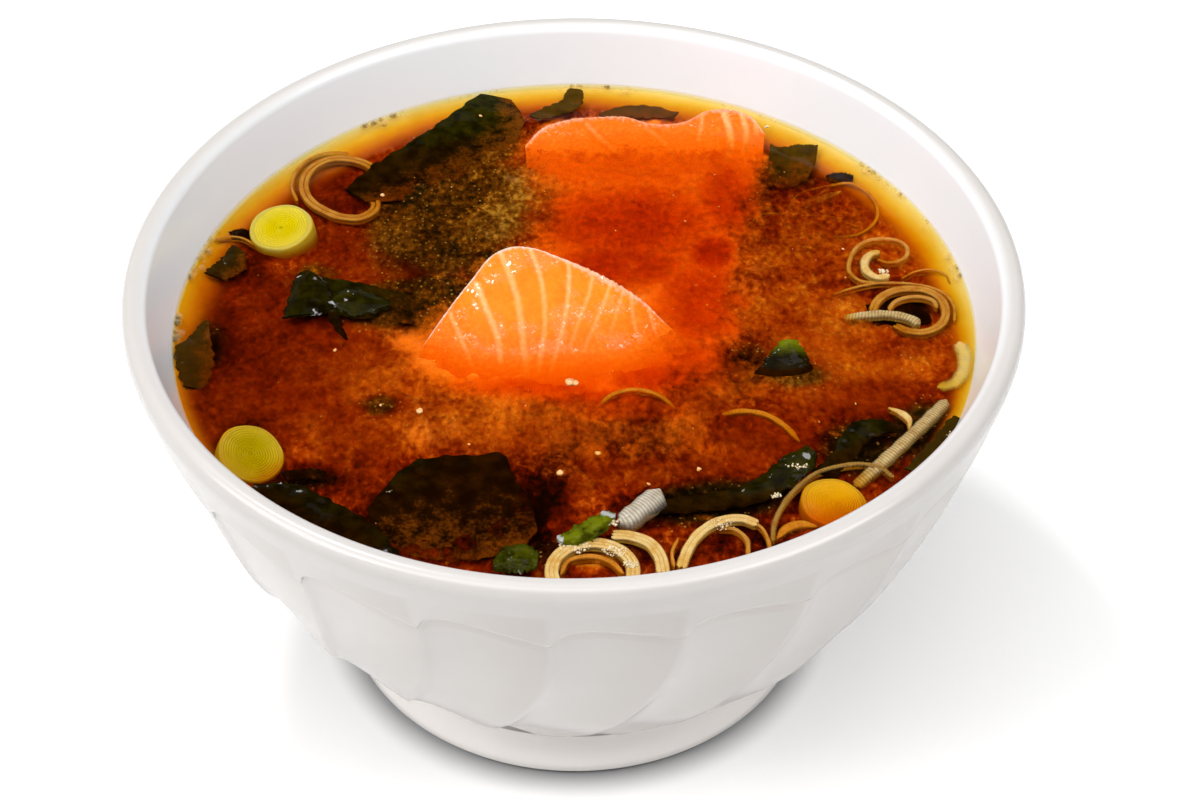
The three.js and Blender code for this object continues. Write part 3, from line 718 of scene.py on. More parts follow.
bowl = {
    "height": 81.0,
    "facets": 22,
    "firstRidge": -2.4,  # azimuth of one ridge's top end, degrees from -Y towards +X
    "facetFoot": 11.0,
    "facetEnd": 66.0,  # height where two facets' top edges meet
    "facetArch": 4.6,  # rise of a top edge between its ends
    "step": 0.62,  # depth of the step under a top edge
    "stepHeight": 0.55,
    "flute": 0.62,  # hollow of a facet
    "lap": 0.32,  # how far the low part of a facet lies behind the ridge on its left
    "swirlTurn": 8.5,  # degrees that a ridge has turned at the next height, and how fast
    "swirlAt": 31.0,
    "swirlPower": 2.2,
    "columnsPerFacet": 20,
    "facetRows": 56,
    "stepRows": 6,
    "bandRows": 6,
    "plainRows": {"foot": 44, "lip": 30, "inside": 44},
    "rounding": 1.3,  # of a facet's low end over the foot: its depth and its reach upwards
    "roundingReach": 0.7,
    "wall": [[43.8, 11], [51.1, 20], [58.5, 30], [64.2, 42], [68.6, 54], [72, 66], [74.2, 75]],
    "lip": [[74.2, 75], [74.75, 77.2], [74.96, 79], [74.55, 80.3], [73.4, 81], [72.1, 80.85], [71.15, 80],
            [70.6, 78.6], [70.0, 76.8]],
    "inside": [[70.0, 76.8], [67.7, 69.7], [64.3, 57.5], [60.6, 47], [56, 37], [50, 28], [42, 20.5],
               [32, 15.5], [18, 12.6], [0.4, 12]],
    "foot": [[0.4, 5], [34, 5], [36.4, 4.2], [37.3, 1.2], [38.3, 0.1], [41.8, 0], [43, 0.9],
             [42.5, 3.2], [40.6, 7], [40.0, 8.8], [41.2, 10.3], [43.2, 10.7]],
}


# Top edge of a facet by the place across it, 0 at its left ridge and 1 at its right: it rises fast
# and falls slowly.
def facetTop(across):
    return bowl["facetEnd"] + bowl["facetArch"] * np.sin(math.pi * across**0.55)


# How far the wall is cut back: the step under the top edge, the hollow between two ridges, and low
# down the lap behind the ridge on the left.
def facetRecess(across, drop):
    step = bowl["step"] * (0.25 + 0.75 * np.sin(math.pi * across**0.55))
    hollow = bowl["flute"] * np.sin(math.pi * across**0.75) * (1 - np.exp(-drop / 8))
    behind = (1 - np.exp(-across / 0.07)) * (1 - across) ** 1.6
    return step + hollow + bowl["lap"] * behind * softStep(drop, 4, 40)


# Rows of points up the foot, the facets, the step over them and the plain band, over the lip and down
# the inside; the facets' ridges turn about Z by a power of the way down.
def makeBowl():
    columns = bowl["facets"] * bowl["columnsPerFacet"]
    place = np.arange(columns) / bowl["columnsPerFacet"]
    across = (place % 1)[None, :]
    reach = bowl["facetEnd"] - bowl["swirlAt"]

    # Points all round at these radii and heights, turned on by a power of the way down.
    def row(radius, height):
        drop = np.maximum(bowl["facetEnd"] - np.maximum(height, bowl["facetFoot"]), 0)
        swirl = bowl["swirlTurn"] * (drop / reach) ** bowl["swirlPower"]
        angle = np.radians(bowl["firstRidge"] + place * 360 / bowl["facets"] - swirl)
        return np.stack([radius * np.sin(angle), -radius * np.cos(angle), height + 0 * angle], -1)

    top = facetTop(across)
    share = np.linspace(0, 1, bowl["facetRows"])[:, None] ** 0.95
    low = bowl["facetFoot"] + 0.5 * np.sin(math.pi * across) ** 2
    height = low + (top - bowl["stepHeight"] - low) * share
    recess = facetRecess(across, top - bowl["stepHeight"] - height)
    rounding = bowl["rounding"] * np.exp(-(height - low) / bowl["roundingReach"])
    facet = row(radiusOn(bowl["wall"], height) - recess - rounding, height)

    rise = np.linspace(0, 1, bowl["stepRows"] + 1)[1:, None]
    stepZ = top - bowl["stepHeight"] * (1 - rise)
    stepIn = facetRecess(across, 0) * (1 - softStep(rise, 0, 1))
    step = row(radiusOn(bowl["wall"], stepZ) - stepIn, stepZ)

    bandEnd = bowl["wall"][-1][1]
    bandZ = top + (bandEnd - top) * np.linspace(0, 1, bowl["bandRows"] + 2)[1:-1, None]
    band = row(radiusOn(bowl["wall"], bandZ), bandZ)

    even = np.ones((1, columns))
    plain = [pathThrough(bowl[part], count) for part, count in bowl["plainRows"].items()]
    foot, lip, inside = [row(p[:, :1] * even, p[:, 1:] * even) for p in plain]
    loops = np.concatenate([foot, facet, step, band, lip, inside[1:]])
    loops[..., 2] = np.clip(loops[..., 2], 0, bowl["height"])
    points, faces = closedSkin(loops)
    under, shape = len(foot), loops.shape[:2]
    edge = under + len(facet) + len(step) + len(band)
    inwards = np.linspace(0, 1, len(lip))[:, None]
    # Outer mark: painted shade on the outside wall, on the lip's outer half, and more towards each facet's
    # right ridge.
    outer = np.ones(shape)
    outer[edge : edge + len(lip)] = 0.88 * (1 - softStep(inwards, 0.58, 0.76))
    outer[edge + len(lip) :] = 0
    outer[:edge] *= 0.9 + 0.1 * softStep(across, 0.1, 0.9)
    outer[:under] *= 0.2
    # Painted shade: a dark line under each facet's top edge, and round the join of foot and body.
    crease = np.zeros(shape)
    arch = np.sin(math.pi * across) ** 0.5
    crease[under + len(facet) - 1] = 0.5 * arch
    crease[under + len(facet) - 3 : under + len(facet) - 1] = 0.3 * arch
    crease[under - 1 : under + 1] = 0.8
    # Foot mark: where the glaze is painted brighter, as painted light.
    foot = np.zeros(shape)
    foot[: under - 2] = 1
    marks = {"outer": outer, "crease": crease, "foot": foot}
    addPiece("bowl_body", points, faces, finishes["glaze"], "glaze", ["bowl"], marks)


makeBowl()
print("bowl made")


broth = {
    "reach": 0.25,  # how far it reaches into the wall
    "meniscus": 0.45,  # climb of the broth at the wall, and how far out it fades
    "meniscusWidth": 0.8,
    "columns": 240,
}


# The bowl's inside up to the level, closed by a surface that climbs the wall by an exponential.
def makeBroth():
    wall = bowl["inside"][::-1]
    inner = pathThrough(wall, 120)
    under = inner[inner[:, 1] < level - 0.5][::4]
    radius = radiusOn(wall, level)
    edge = [[radius + broth["reach"], level + climb] for climb in (0, broth["meniscus"])]
    away = np.array([0.25, 0.5, 0.9, 1.4, 2.2, 3.4, 6, 12, 30])
    climb = broth["meniscus"] * np.exp(-away / broth["meniscusWidth"])
    rim = np.stack([radius - away, level + climb], -1)
    bottom, top = [[0, under[0, 1] - 0.2]], [[0, level]]
    profile = np.vstack([bottom, under + [broth["reach"], -0.2], edge, rim, top])
    points, faces = turned(profile, broth["columns"])
    addPiece("broth_clear", points, faces, finishes["broth"], "broth", ["broth"])


# Patches of the cloud in plan: x, y, half width, half length, turn in degrees, strength.
patches = {
    "light": [  # added to the cloud's mean lightness
        (0, -25, 30, 8, 0, 0.08), (-24, -20, 12, 9, 0, 0.04), (3.5, -57, 5, 3.4, 0, 1.0),
        (38, -8, 12, 5, 0, 0.16), (56, 18, 8, 8, 0, 0.18), (20, -32, 22, 6, 0, -0.06),
        (24, -16, 9, 6, 0, -0.24), (-8, 17, 8, 4, 0, -0.12), (-24, -1, 8, 5, 0, -0.16),
        (-8, 32, 6, 8, 0, 0.16), (-32, 8, 8, 5, 0, -0.12), (-23, -1, 8, 4, 0, -0.2),
        (-53, -31, 6, 7, 0, -0.25), (-16, 25, 6, 8, 0, 0.16), (32, 30, 5, 14, 0, -0.16),
        (-50, 38, 6, 6, 0, 0.1), (58, -8, 8, 5, 0, 0.05), (-32, -12, 15, 10, -30, 0.20),
        (44, 2, 15, 9, 0, 0.24), (28, 6, 6, 12, 0, 0.16), (52, -12, 11, 5, 0, 0.2),
        (42, -15, 12, 5, 10, 0.14), (-14, -28, 16, 7, 5, 0.1), (-36, -30, 10, 5, 20, 0.1),
        (42, 20, 10, 8, 0, 0.12), (-34, 8, 9, 5, -20, 0.1), (16, -40, 18, 5, 0, 0.05),
        (-55, 2, 12, 14, 0, -0.1), (-43, 35, 8, 10, 0, -0.23), (-57, -16, 9, 12, 0, -0.12),
        (10, -30, 12, 8, 0, -0.14), (32, 16, 5, 6, 0, 0.14), (34, -8, 7, 5, 0, 0.12),
        (-36, -8, 9, 5, 0, -0.12), (30, -31, 8, 8, 0, 0.06), (-8, -24, 12, 4, 0, 0.12),
        (44, 16, 14, 5, 0, 0.1), (40, 34, 9, 12, 10, -0.1), (38, 42, 7, 8, 20, -0.3),
        (-4, -42, 5, 11, -15, -0.3), (-18, -47, 17, 12, 0, -0.4), (22, -45, 17, 6, 8, -0.42),
        (46, -33, 9, 9, 40, -0.34), (58, 1, 4, 4, 0, -0.18), (29, -11, 4, 8, -25, -0.3),
        (36, -14, 7, 4, 0, -0.16), (-31.5, -22.5, 3.5, 3, 20, -0.3), (-62, -8, 5, 10, 0, -0.3),
        (-58, 15, 6, 7, 0, -0.25), (0, -56, 16, 5, 0, -0.3), (27, -54, 10, 4, 10, -0.3),
        (-42, -40, 8, 4, 0, -0.34), (-25, -4, 6, 3, 0, 0.1), (58, -28, 6, 8, -30, -0.22),
        (54, -9, 6, 3, 10, -0.24), (-24, -3, 6, 6, 0, -0.28), (-42, -9, 12, 10, 0, -0.08),
        (-24, 14, 14, 5, 0, -0.08), (-4, -16, 14, 5, 0, -0.1), (29, -25, 7, 4, 0, -0.12),
        (-28, 36, 9, 9, 0, -0.1), (-22, 9, 8, 4, 0, -0.12), (51, 8, 8, 4, 0, -0.14),
    ],
    "olive": [
        (-23, 28, 16, 21, -20, 1.0), (-27, 4, 15, 8, 10, 1.0), (-21, 50, 11, 15, -35, 1.0),
        (-14, 14, 8, 7, 0, 0.8), (-45, 10, 6, 6, 0, 0.6), (29, -12, 5, 8, -25, 0.6),
        (37, -15, 7, 4, 0, 0.7), (39, 42, 6, 8, 20, 0.7), (11, 59.5, 7, 3, 0, 0.9),
        (-18, -47, 15, 10, 0, 0.45), (22, -45, 16, 6, 8, 0.8), (46, -33, 8, 8, 40, 0.7),
        (58, 1, 4, 4, 0, 0.8), (-31.5, -22.5, 4, 3.5, 20, 0.6), (-62, -8, 5, 9, 0, 0.5),
        (56, -28, 6, 9, -30, 0.8), (-42, -40, 7, 3, 0, 0.6), (0, -56, 16, 4, 0, 0.5),
    ],
    "calm": [  # where the flecks are faint
        (-44, 34, 8, 10, 0, 0.7), (30, -31, 10, 9, 0, 0.6), (48, -22, 14, 5, -5, 0.6),
        (10, 32, 22, 18, 0, 0.4), (-16, -48, 17, 10, 0, 0.3), (22, -20, 12, 8, 0, 0.5),
        (5, -14, 22, 7, 0, 0.7), (-46, -8, 26, 34, 0, 0.6), (0, -28, 30, 10, 0, 0.4),
        (48, -10, 18, 16, 0, 0.4),
    ],
    "deep": [  # where the salmon's glow is redder
        (10, 25, 18, 13, 0, 0.66), (8, 14, 14, 8, 0, 0.66), (27, 34, 6, 14, 0, 0.6),
        (8, -22, 16, 4, 0, 0.7), (22, 46, 9, 9, 0, 0.45), (-6, -18, 14, 3, 0, 0.5),
        (22, -12, 8, 8, 0, 0.5), (14, 44, 24, 12, 0, 0.3), (22, 4, 9, 14, 0, 0.62),
        (0, 48, 10, 6, 0, 0.4), (14, -16, 12, 5, 0, 0.6), (24, 17, 5, 6, 0, 0.78),
        (6, 46, 15, 6, 0, 0.5),
    ],
    "thick": [  # where the haze is thicker
        (10, 22, 20, 10, 0, 0.22), (8, 34, 22, 10, 0, 0.12), (40, 26, 10, 9, 0, 0.3),
        (46, 33, 9, 6, 0, 0.2), (-2, -24, 26, 6, 0, 0.25), (-20, 30, 14, 20, -20, 0.14),
        (-20, -52, 14, 6, 0, 0.22), (36, -14, 10, 4, 0, 0.3), (-16, 36, 8, 10, 0, 0.15),
        (30, 40, 8, 8, 0, 0.1), (-26, 0, 7, 4, 0, 0.25),
    ],
    "clear": [  # where it is thinner
        (-44, 35, 12, 13, 0, 0.5), (-30, 46, 9, 14, -38, 0.6), (55, 15, 9, 9, 0, 0.45),
        (57, 1, 9, 8, 0, 0.5), (-42, 4, 9, 8, 0, 0.6), (-52, 22, 8, 8, 0, 0.6),
        (-50, -36, 9, 8, 0, 0.6), (41, -46, 10, 8, 0, 0.7), (3, -57, 16, 9, 0, 0.8),
        (22, -50, 14, 8, 0, 0.7), (35, -38, 9, 8, 0, 0.6), (12, -46, 12, 6, 0, 0.5),
        (-19, -40, 13, 8, 0, 0.4), (-42, -47, 12, 8, -30, 0.7), (55, -28, 7, 12, -35, 0.6),
        (47, -30, 8, 6, 0, 0.4), (13, 53, 24, 6, 0, 0.5), (35, -9, 4, 4, 0, 0.3),
        (-64, -10, 5, 12, 0, 0.5), (-6, 62, 9, 6, 0, 0.6), (63, -13, 5, 9, 0, 0.5),
        (-6, -11, 20, 8, -6, 0.6), (40, 44, 5, 6, 0, 0.2), (10, -20, 8, 3.5, 0, 0.6),
        (31, -26, 8, 4, -20, 0.6),
    ],
}
# Outline of the salmon's glow in plan.
glowOutline = [
    (-9, 51), (-4, 54), (8, 56.5), (21, 56), (28, 57), (33, 53), (33, 44), (31, 32), (28, 20), (26, 8),
    (26, -3), (22, -12), (13, -18), (2, -21), (-9, -21), (-19, -18), (-27, -12), (-28, -7), (-20, 1),
    (-12, 14), (-4, 22), (-2, 34), (-6, 44),
]
# Places where the glow shows faintly through the miso.
faintGlow = [
    (0, -28, 30, 10, 0, 0.34), (26, 12, 10, 16, 0, 0.36), (24, -14, 12, 10, 0, 0.3),
    (-22, -16, 12, 8, 0, 0.3),
]


# Strongest of several soft ellipses at each place, or their sum.
def patchwork(table, x, y, added=False):
    total = np.zeros(np.shape(x))
    for centreX, centreY, halfWidth, halfLength, turn, strength in table:
        c, s = math.cos(math.radians(turn)), math.sin(math.radians(turn))
        u = ((x - centreX) * c + (y - centreY) * s) / halfWidth
        v = ((y - centreY) * c - (x - centreX) * s) / halfLength
        part = strength * (1 - softStep(np.hypot(u, v), 0.3, 1.4))
        total = total + part if added else np.maximum(total, part)
    return total


cloud = {
    "rings": 120,
    "columns": 620,
    "billow": 0.6,  # height of the slow waves of its top, and of the quick ones
    "lump": 0.28,
    "meanLight": 0.5,
    "rim": 68.1,  # radius where it meets the wall, depth there, and width of its rise to the wall
    "rimDepth": 0.35,
    "rise": 9.0,
    "bottom": 58.5,
    "ringAt": [-180, -160, -135, -90, -45, -15, 10, 45, 90, 135, 160],  # azimuth from +X
    "ringWidth": [8.0, 2.6, 2.4, 2.0, 2.0, 3.4, 7.5, 10.0, 9.6, 10.4, 7.5],  # of the amber there
    "ringStart": [0.45, 0.6, 0.6, 0.6, 0.45, 0.25, 0.0, 0.0, 0.0, 0.0, 0.3],  # its depth at the wall
    "veil": 0.5,
    "hazeRim": 66.5,
    "hazeRough": 0.12,
    "hazeBottom": 64.5,
}


# Marks for the cloud's finish at each place, by where it is seen from the camera's side.
def cloudMarks(points):
    x = points[:, 0]
    y = points[:, 1] + slant * np.clip(points[:, 2] - level, -3, 0)
    wander = 1.6 * ripple(x, y, 13, 21)
    fromWall = radiusOn(bowl["inside"][::-1], level) - np.hypot(x, y)
    azimuth = np.degrees(np.arctan2(y, x))
    width = np.interp(azimuth, cloud["ringAt"], cloud["ringWidth"], period=360)
    start = np.interp(azimuth, cloud["ringAt"], cloud["ringStart"], period=360)
    light = cloud["meanLight"] + patchwork(patches["light"], x, y, True)
    veil = cloud["veil"] + patchwork(patches["thick"], x, y, True) - patchwork(patches["clear"], x, y)
    ring = np.clip(start + (1 - start) * fromWall / width, 0, 1.4)
    glow = softStep(depthInside(np.array(glowOutline), x, y) + wander, -8, 6)
    return {
        "light": light,
        **{name: patchwork(patches[name], x, y) for name in ("olive", "calm", "deep")},
        "fish": np.maximum(glow, patchwork(faintGlow, x, y)),
        "ring": ring,
        "veil": veil * softStep(ring, 0.55, 1.15) - (1 - softStep(ring, 0.4, 0.8)) * 0.6,
    }


# A body with a level bottom: its top lies at the mean depth plus billows and lumps, and rises to
# the wall by a parabola.
def makeCloud(name, finish, rim, meanDepth, rough, bottom):
    angle = np.linspace(0, 2 * math.pi, cloud["columns"], endpoint=False)[None, :]
    radius = np.linspace(rim, 0.3, cloud["rings"])[:, None]
    x, y = radius * np.cos(angle), radius * np.sin(angle)
    inward = np.clip((rim - radius) / cloud["rise"], 0, 1)
    share = 1 - (1 - inward) ** 2
    relief = cloud["billow"] * ripple(x, y, 26, 5) + cloud["lump"] * ripple(x, y, 6.5, 8)
    depth = np.maximum(meanDepth + rough * relief, 0.55 * meanDepth)
    depth = cloud["rimDepth"] + (depth - cloud["rimDepth"]) * share
    top = np.stack([x, y, level - depth], -1)
    lower = np.array([[0.3, bottom], [0.5 * rim, bottom], [rim - 3, bottom], [rim - 1, bottom + 3]])
    lower = lower[:, :, None, None] * np.ones((1, 1, 1, cloud["columns"]))
    rows = np.concatenate([lower[:, 0] * np.cos(angle), lower[:, 0] * np.sin(angle), lower[:, 1]], 1)
    loops = np.concatenate([rows.transpose(0, 2, 1), top])
    points, faces = closedSkin(loops)
    addPiece(name, points, faces, finish, "broth", marks=cloudMarks(points))


makeBroth()
makeCloud("miso_cloud", finishes["cloud"], cloud["rim"], brothLook["cloudDepth"], 1.0, cloud["bottom"])
makeCloud(
    "miso_haze", finishes["haze"], cloud["hazeRim"], brothLook["hazeDepth"], cloud["hazeRough"],
    cloud["hazeBottom"],
)
print("broth made")


frontSalmon = {
    "ridge": [
        [-25.5, -7.5, -0.6], [-21.5, -1, 1.8], [-17.5, 4, 4.5], [-13.5, 8.2, 6.9], [-10.8, 9.3, 7.4],
        [-7.5, 9.2, 7.3], [-2.5, 7.8, 6.3], [3, 5.6, 5.2], [8, 3, 3.9], [11.6, 1.2, 2.2], [15, -1.6, 0.2],
        [18.6, -5, -1.4], [22, -9, -3.4],
    ],
    "faceEdge": [[-28, -17, -5], [-16, -21, -5.6], [0, -22, -6], [12, -19, -6], [23, -13, -6]],
    "backSlope": 3.2,  # how far back its back foot lies
    "base": -8.0,  # height of the back foot over the level
    "bulge": 1.1,  # of its face
    "film": [  # x, width and strength of the white film
        [-26, 0.3, 0.6], [-22, 0.45, 1.0], [-5, 0.4, 1.0], [-1.5, 0.6, 0.9], [2, 1.3, 0.7],
        [10, 1.5, 0.6], [12, 0.7, 0.5], [16, 0.4, 0],
    ],
    "stations": 220,
    "faceRows": 96,
}
# Fat lines on the front piece, as they are seen in plan: corners, half width, strength.
fatLines = [
    ([(-21, 0.5), (-19.6, -4), (-18, -9), (-16.4, -15)], 0.34, 0.5),
    ([(-16.6, 8), (-15.6, 4.5), (-14.2, -0.5), (-12.9, -5), (-12.2, -12)], 0.42, 1.0),
    ([(-12.6, 15.5), (-11.2, 11), (-9.6, 4), (-8.9, -2), (-8.4, -8), (-7.8, -15)], 0.42, 0.9),
    ([(-7.9, 17.5), (-6.2, 12), (-5.2, 5), (-4.9, -2), (-5.3, -8), (-6, -15)], 0.34, 0.85),
    ([(-1, 13.5), (-0.9, 8), (-1.4, 1), (-2.4, -6), (-3.8, -14)], 0.3, 0.8),
    ([(3.2, 10.6), (2.4, 5), (0.9, -1), (-0.6, -8)], 0.26, 0.7),
    ([(6.2, 8.2), (5, 3), (3.3, -3), (1.6, -9)], 0.24, 0.65),
    ([(8.3, 6.4), (7.2, 1), (6, -5)], 0.2, 0.45),
    ([(9.6, 5), (10, -1), (11, -7)], 0.26, 0.5),
    ([(12.6, 1.6), (13.2, -2), (14.2, -6)], 0.26, 0.45),
]
backSalmon = {
    "ridge": [
        [-9.5, 49, -0.4], [-6.5, 53, 0.5], [-2, 55.5, 0.7], [4, 56.6, 0.6], [9, 56.8, 0.5], [14, 55, 0.2],
        [20, 55.3, 0.4], [25, 58.4, 0.9], [29, 58.6, 0.9], [32.5, 56.5, 0.8], [35, 52.5, -0.2],
    ],
    "faceEdge": [[-7, 14, -8], [6, 9, -9], [20, 8, -9], [31, 16, -8]],
    "backSlope": -1.5,
    "thickness": 6.0,
    "bulge": 0.8,
    "film": [[-8, 1.2, 0.6], [-2, 1.0, 0.6], [4, 0.7, 0.4], [22, 0.6, 0.35], [28, 0.9, 0.6], [34, 0.6, 0.4]],
    "stations": 200,
    "faceRows": 90,
}
backLines = [
    ([(23.5, 58), (23.2, 54), (22.4, 50)], 0.3, 0.5),
    ([(27.6, 58.4), (28.4, 54), (28.6, 49), (28, 44)], 0.5, 0.9),
    ([(31, 58), (31.6, 53), (31, 47)], 0.45, 0.7),
    ([(33.4, 56), (33.6, 52)], 0.4, 0.6),
    ([(2, 55), (5, 50), (8, 46), (10, 42)], 0.4, 0.3),
    ([(13, 54), (16, 50), (18, 46)], 0.4, 0.25),
]


salmonRelief = {
    "flake": 0.16,  # rise of the flesh between two fat lines, and how far from a line it takes
    "flakeWidth": 2.4,
    "rough": 0.08,
    "frayed": 0.14,  # unevenness of the ridge, per width of its film
    "belly": 0.7,  # bulge of the back
    "backRows": 14,
    "backFilm": 6,  # rows of the back that the film hangs over
}


# A block of flesh: each cross-section runs from its back foot up to the ridge, down the bulging
# face to the lower front edge and under it. Each fat line is a shallow groove with raised flakes
# between them.
def makeSalmon(name, look, lines, seed):
    count, rows = look["stations"], look["faceRows"]
    ridge, edge = pathThrough(look["ridge"], count), pathThrough(look["faceEdge"], count)
    place = np.linspace(0, 1, count)[:, None]
    end = np.minimum(1, 4 * np.minimum(place, 1 - place))
    share = np.linspace(0, 1, rows)[None, :]
    face = ridge[:, None] * (1 - share[..., None]) + edge[:, None] * share[..., None]
    face[..., 2] += look["bulge"] * end * np.sin(math.pi * share)
    x, seenY = face[..., 0], face[..., 1] + slant * face[..., 2]
    stripe, fold = np.zeros(x.shape), np.full(x.shape, 9.0)
    for corners, halfWidth, strength in lines:
        path = pathThrough(corners, 14)
        gap = distanceTo(path, x, seenY)
        faded = strength * (1 - 0.75 * softStep(path[0, 1] - seenY, 0.35, 1.1 * (path[0, 1] - path[-1, 1])))
        stripe = np.maximum(stripe, faded * (1 - softStep(gap, 0.2 * halfWidth, 2.0 * halfWidth)))
        fold = np.minimum(fold, gap)
    flake = salmonRelief["flake"] * softStep(fold, 0, salmonRelief["flakeWidth"])
    flake = flake + salmonRelief["rough"] * ripple(x, seenY, 3.2, seed)
    fromRidge = np.linalg.norm(face - ridge[:, None], axis=-1)
    filmX, filmWidth, filmStrength = np.array(look["film"]).T
    wide = np.interp(ridge[:, 0], filmX, filmWidth)[:, None]
    ragged = wide * (1 + 0.5 * ripple(x, seenY, 2.2, seed + 1))
    strings = 0.7 + 0.5 * ripple(x * 3, seenY, 2.4, seed + 4)
    film = (1 - softStep(fromRidge, 0.5 * ragged, ragged)) * np.where(wide > 0.7, strings, 1)
    film = np.clip(film * np.interp(ridge[:, 0], filmX, filmStrength)[:, None], 0, 1)
    face[..., 2] += (flake - 0.15) * softStep(fromRidge, 0, 1.5) * softStep(end, 0, 0.4)
    frayed = salmonRelief["frayed"] * wide * ripple(ridge[:, 0] * 2.4, ridge[:, 1], 3.0, seed + 2)[:, None]
    face[..., 2] += frayed * (1 - softStep(fromRidge, 0, 0.9)) * softStep(end, 0, 0.4)
    backZ = ridge[:, 2:] - look["thickness"] if "thickness" in look else 0 * ridge[:, 2:] + look["base"]
    backFoot = np.hstack([ridge[:, :1], ridge[:, 1:2] + look["backSlope"] * end, backZ])
    backRows, backFilm = salmonRelief["backRows"], salmonRelief["backFilm"]
    climb = np.linspace(0, 1, backRows, endpoint=False)[None, :, None]
    back = backFoot[:, None] * (1 - climb) + face[:, :1] * climb
    belly = np.sin(math.pi * climb[..., 0]) * salmonRelief["belly"] * end
    back[..., 1] += belly + 0.25 * ripple(back[..., 0], back[..., 2], 4, seed + 3) * end
    frontFoot = edge[:, None] + np.array([0, 2, -3.0])
    loops = np.concatenate([back, face, frontFoot], 1)
    loops[..., 2] += level
    columns = loops.shape[1]
    marks = {mark: np.zeros((count, columns)) for mark in ("stripe", "film")}
    marks["stripe"][:, backRows : backRows + rows] = stripe
    marks["film"][:, backRows : backRows + rows] = film
    marks["film"][:, backRows - backFilm : backRows] = film[:, :1] * np.linspace(0.2, 1, backFilm)
    marks["low"] = 1 - softStep(loops[..., 2] - level, -0.5, 4)
    points, faces = closedSkin(loops)
    addPiece(name + "_flesh", points, faces, finishes["salmon"], "salmon", [name], marks, 60)


makeSalmon("salmon_front", frontSalmon, fatLines, 31)
makeSalmon("salmon_back", backSalmon, backLines, 37)
print("salmon made")


cores = {
    "leek_core_left": {
        "at": (-52, 22.6, 1.3), "tilt": 11, "towards": 235, "radius": 5.6, "length": 6.0, "finish": "core",
    },
    "leek_core_front_left": {
        "at": (-51, -35.2, 1.2), "tilt": 26, "towards": 318, "radius": 5.2, "length": 4.0,
        "finish": "coreGreen",
    },
    "leek_core_front_right": {
        "at": (40.9, -45.2, 0.1), "tilt": 8, "towards": 312, "radius": 5.1, "length": 4.0,
        "finish": "coreOrange",
    },
}


coreShape = {
    "layers": 13,
    "groove": 0.07,  # depth between two layers
    "dish": 0.25,  # how far the middle of its cut end lies under its rim
    "rings": 48,
    "columns": 96,
    "oval": 0.035,  # how far it is from round, and how uneven
    "uneven": 0.012,
}


# A slice: its cut end has a fine groove between layers and a slightly raised rim, its side a small
# bevel at each end. It leans by its tilt about a level line across the way it leans.
def makeCore(name, look):
    radius, length = look["radius"], look["length"]
    ring = np.linspace(0.02, 0.93, coreShape["rings"])
    grooves = coreShape["groove"] * np.sin(ring * coreShape["layers"] * 2 * math.pi)
    grooves = grooves - coreShape["dish"] * (1 - ring) ** 2
    end = np.stack([radius * ring, grooves], -1)
    side = np.array([[0.97 * radius, -0.02], [radius, -0.3], [1.01 * radius, -0.5 * length],
                     [radius, 0.35 - length], [0.94 * radius, -length], [0.02 * radius, -length]])
    profile = np.vstack([side[::-1], end[::-1]])
    angle = np.linspace(0, 2 * math.pi, coreShape["columns"], endpoint=False)
    oval = 1 + coreShape["oval"] * np.cos(2 * angle + 0.6) + coreShape["uneven"] * np.cos(5 * angle)
    away = profile[:, :1] * oval
    loops = np.stack([away * np.cos(angle), away * np.sin(angle), profile[:, 1:] + 0 * angle], -1)
    points, faces = closedSkin(loops)
    layer = np.linalg.norm(points[:, :2], axis=1) / radius
    lean, turn = math.radians(look["tilt"]), math.radians(look["towards"])
    axis = np.array([-math.sin(turn), math.cos(turn), 0])
    points = (
        points * math.cos(lean)
        + np.cross(axis, points) * math.sin(lean)
        + np.outer(points @ axis, axis) * (1 - math.cos(lean))
    )
    points = points + np.array(look["at"]) + [0, 0, level]
    lower = softStep(look["at"][1] - points[:, 1], -0.7 * radius, 0.9 * radius)
    marks = {"layer": layer, "lower": lower}
    addPiece(name + "_slice", points, faces, finishes[look["finish"]], "leek_core", [name], marks, 50)


for name, look in cores.items():
    makeCore(name, look)


plainStrip = {  # what a strip has unless it says otherwise
    "layers": 1,
    "apart": 0.0,
    "height": 1.1,
    "closed": False,
    "arch": 0.0,
    "taper": 0.3,  # length of its pointed ends, per width
    "finish": "leek",
    "perMillimetre": 3.2,  # points along it, and around it
    "around": 20,
    "uneven": 0.12,  # how much its width varies, and over what length
    "unevenSize": 5,
}


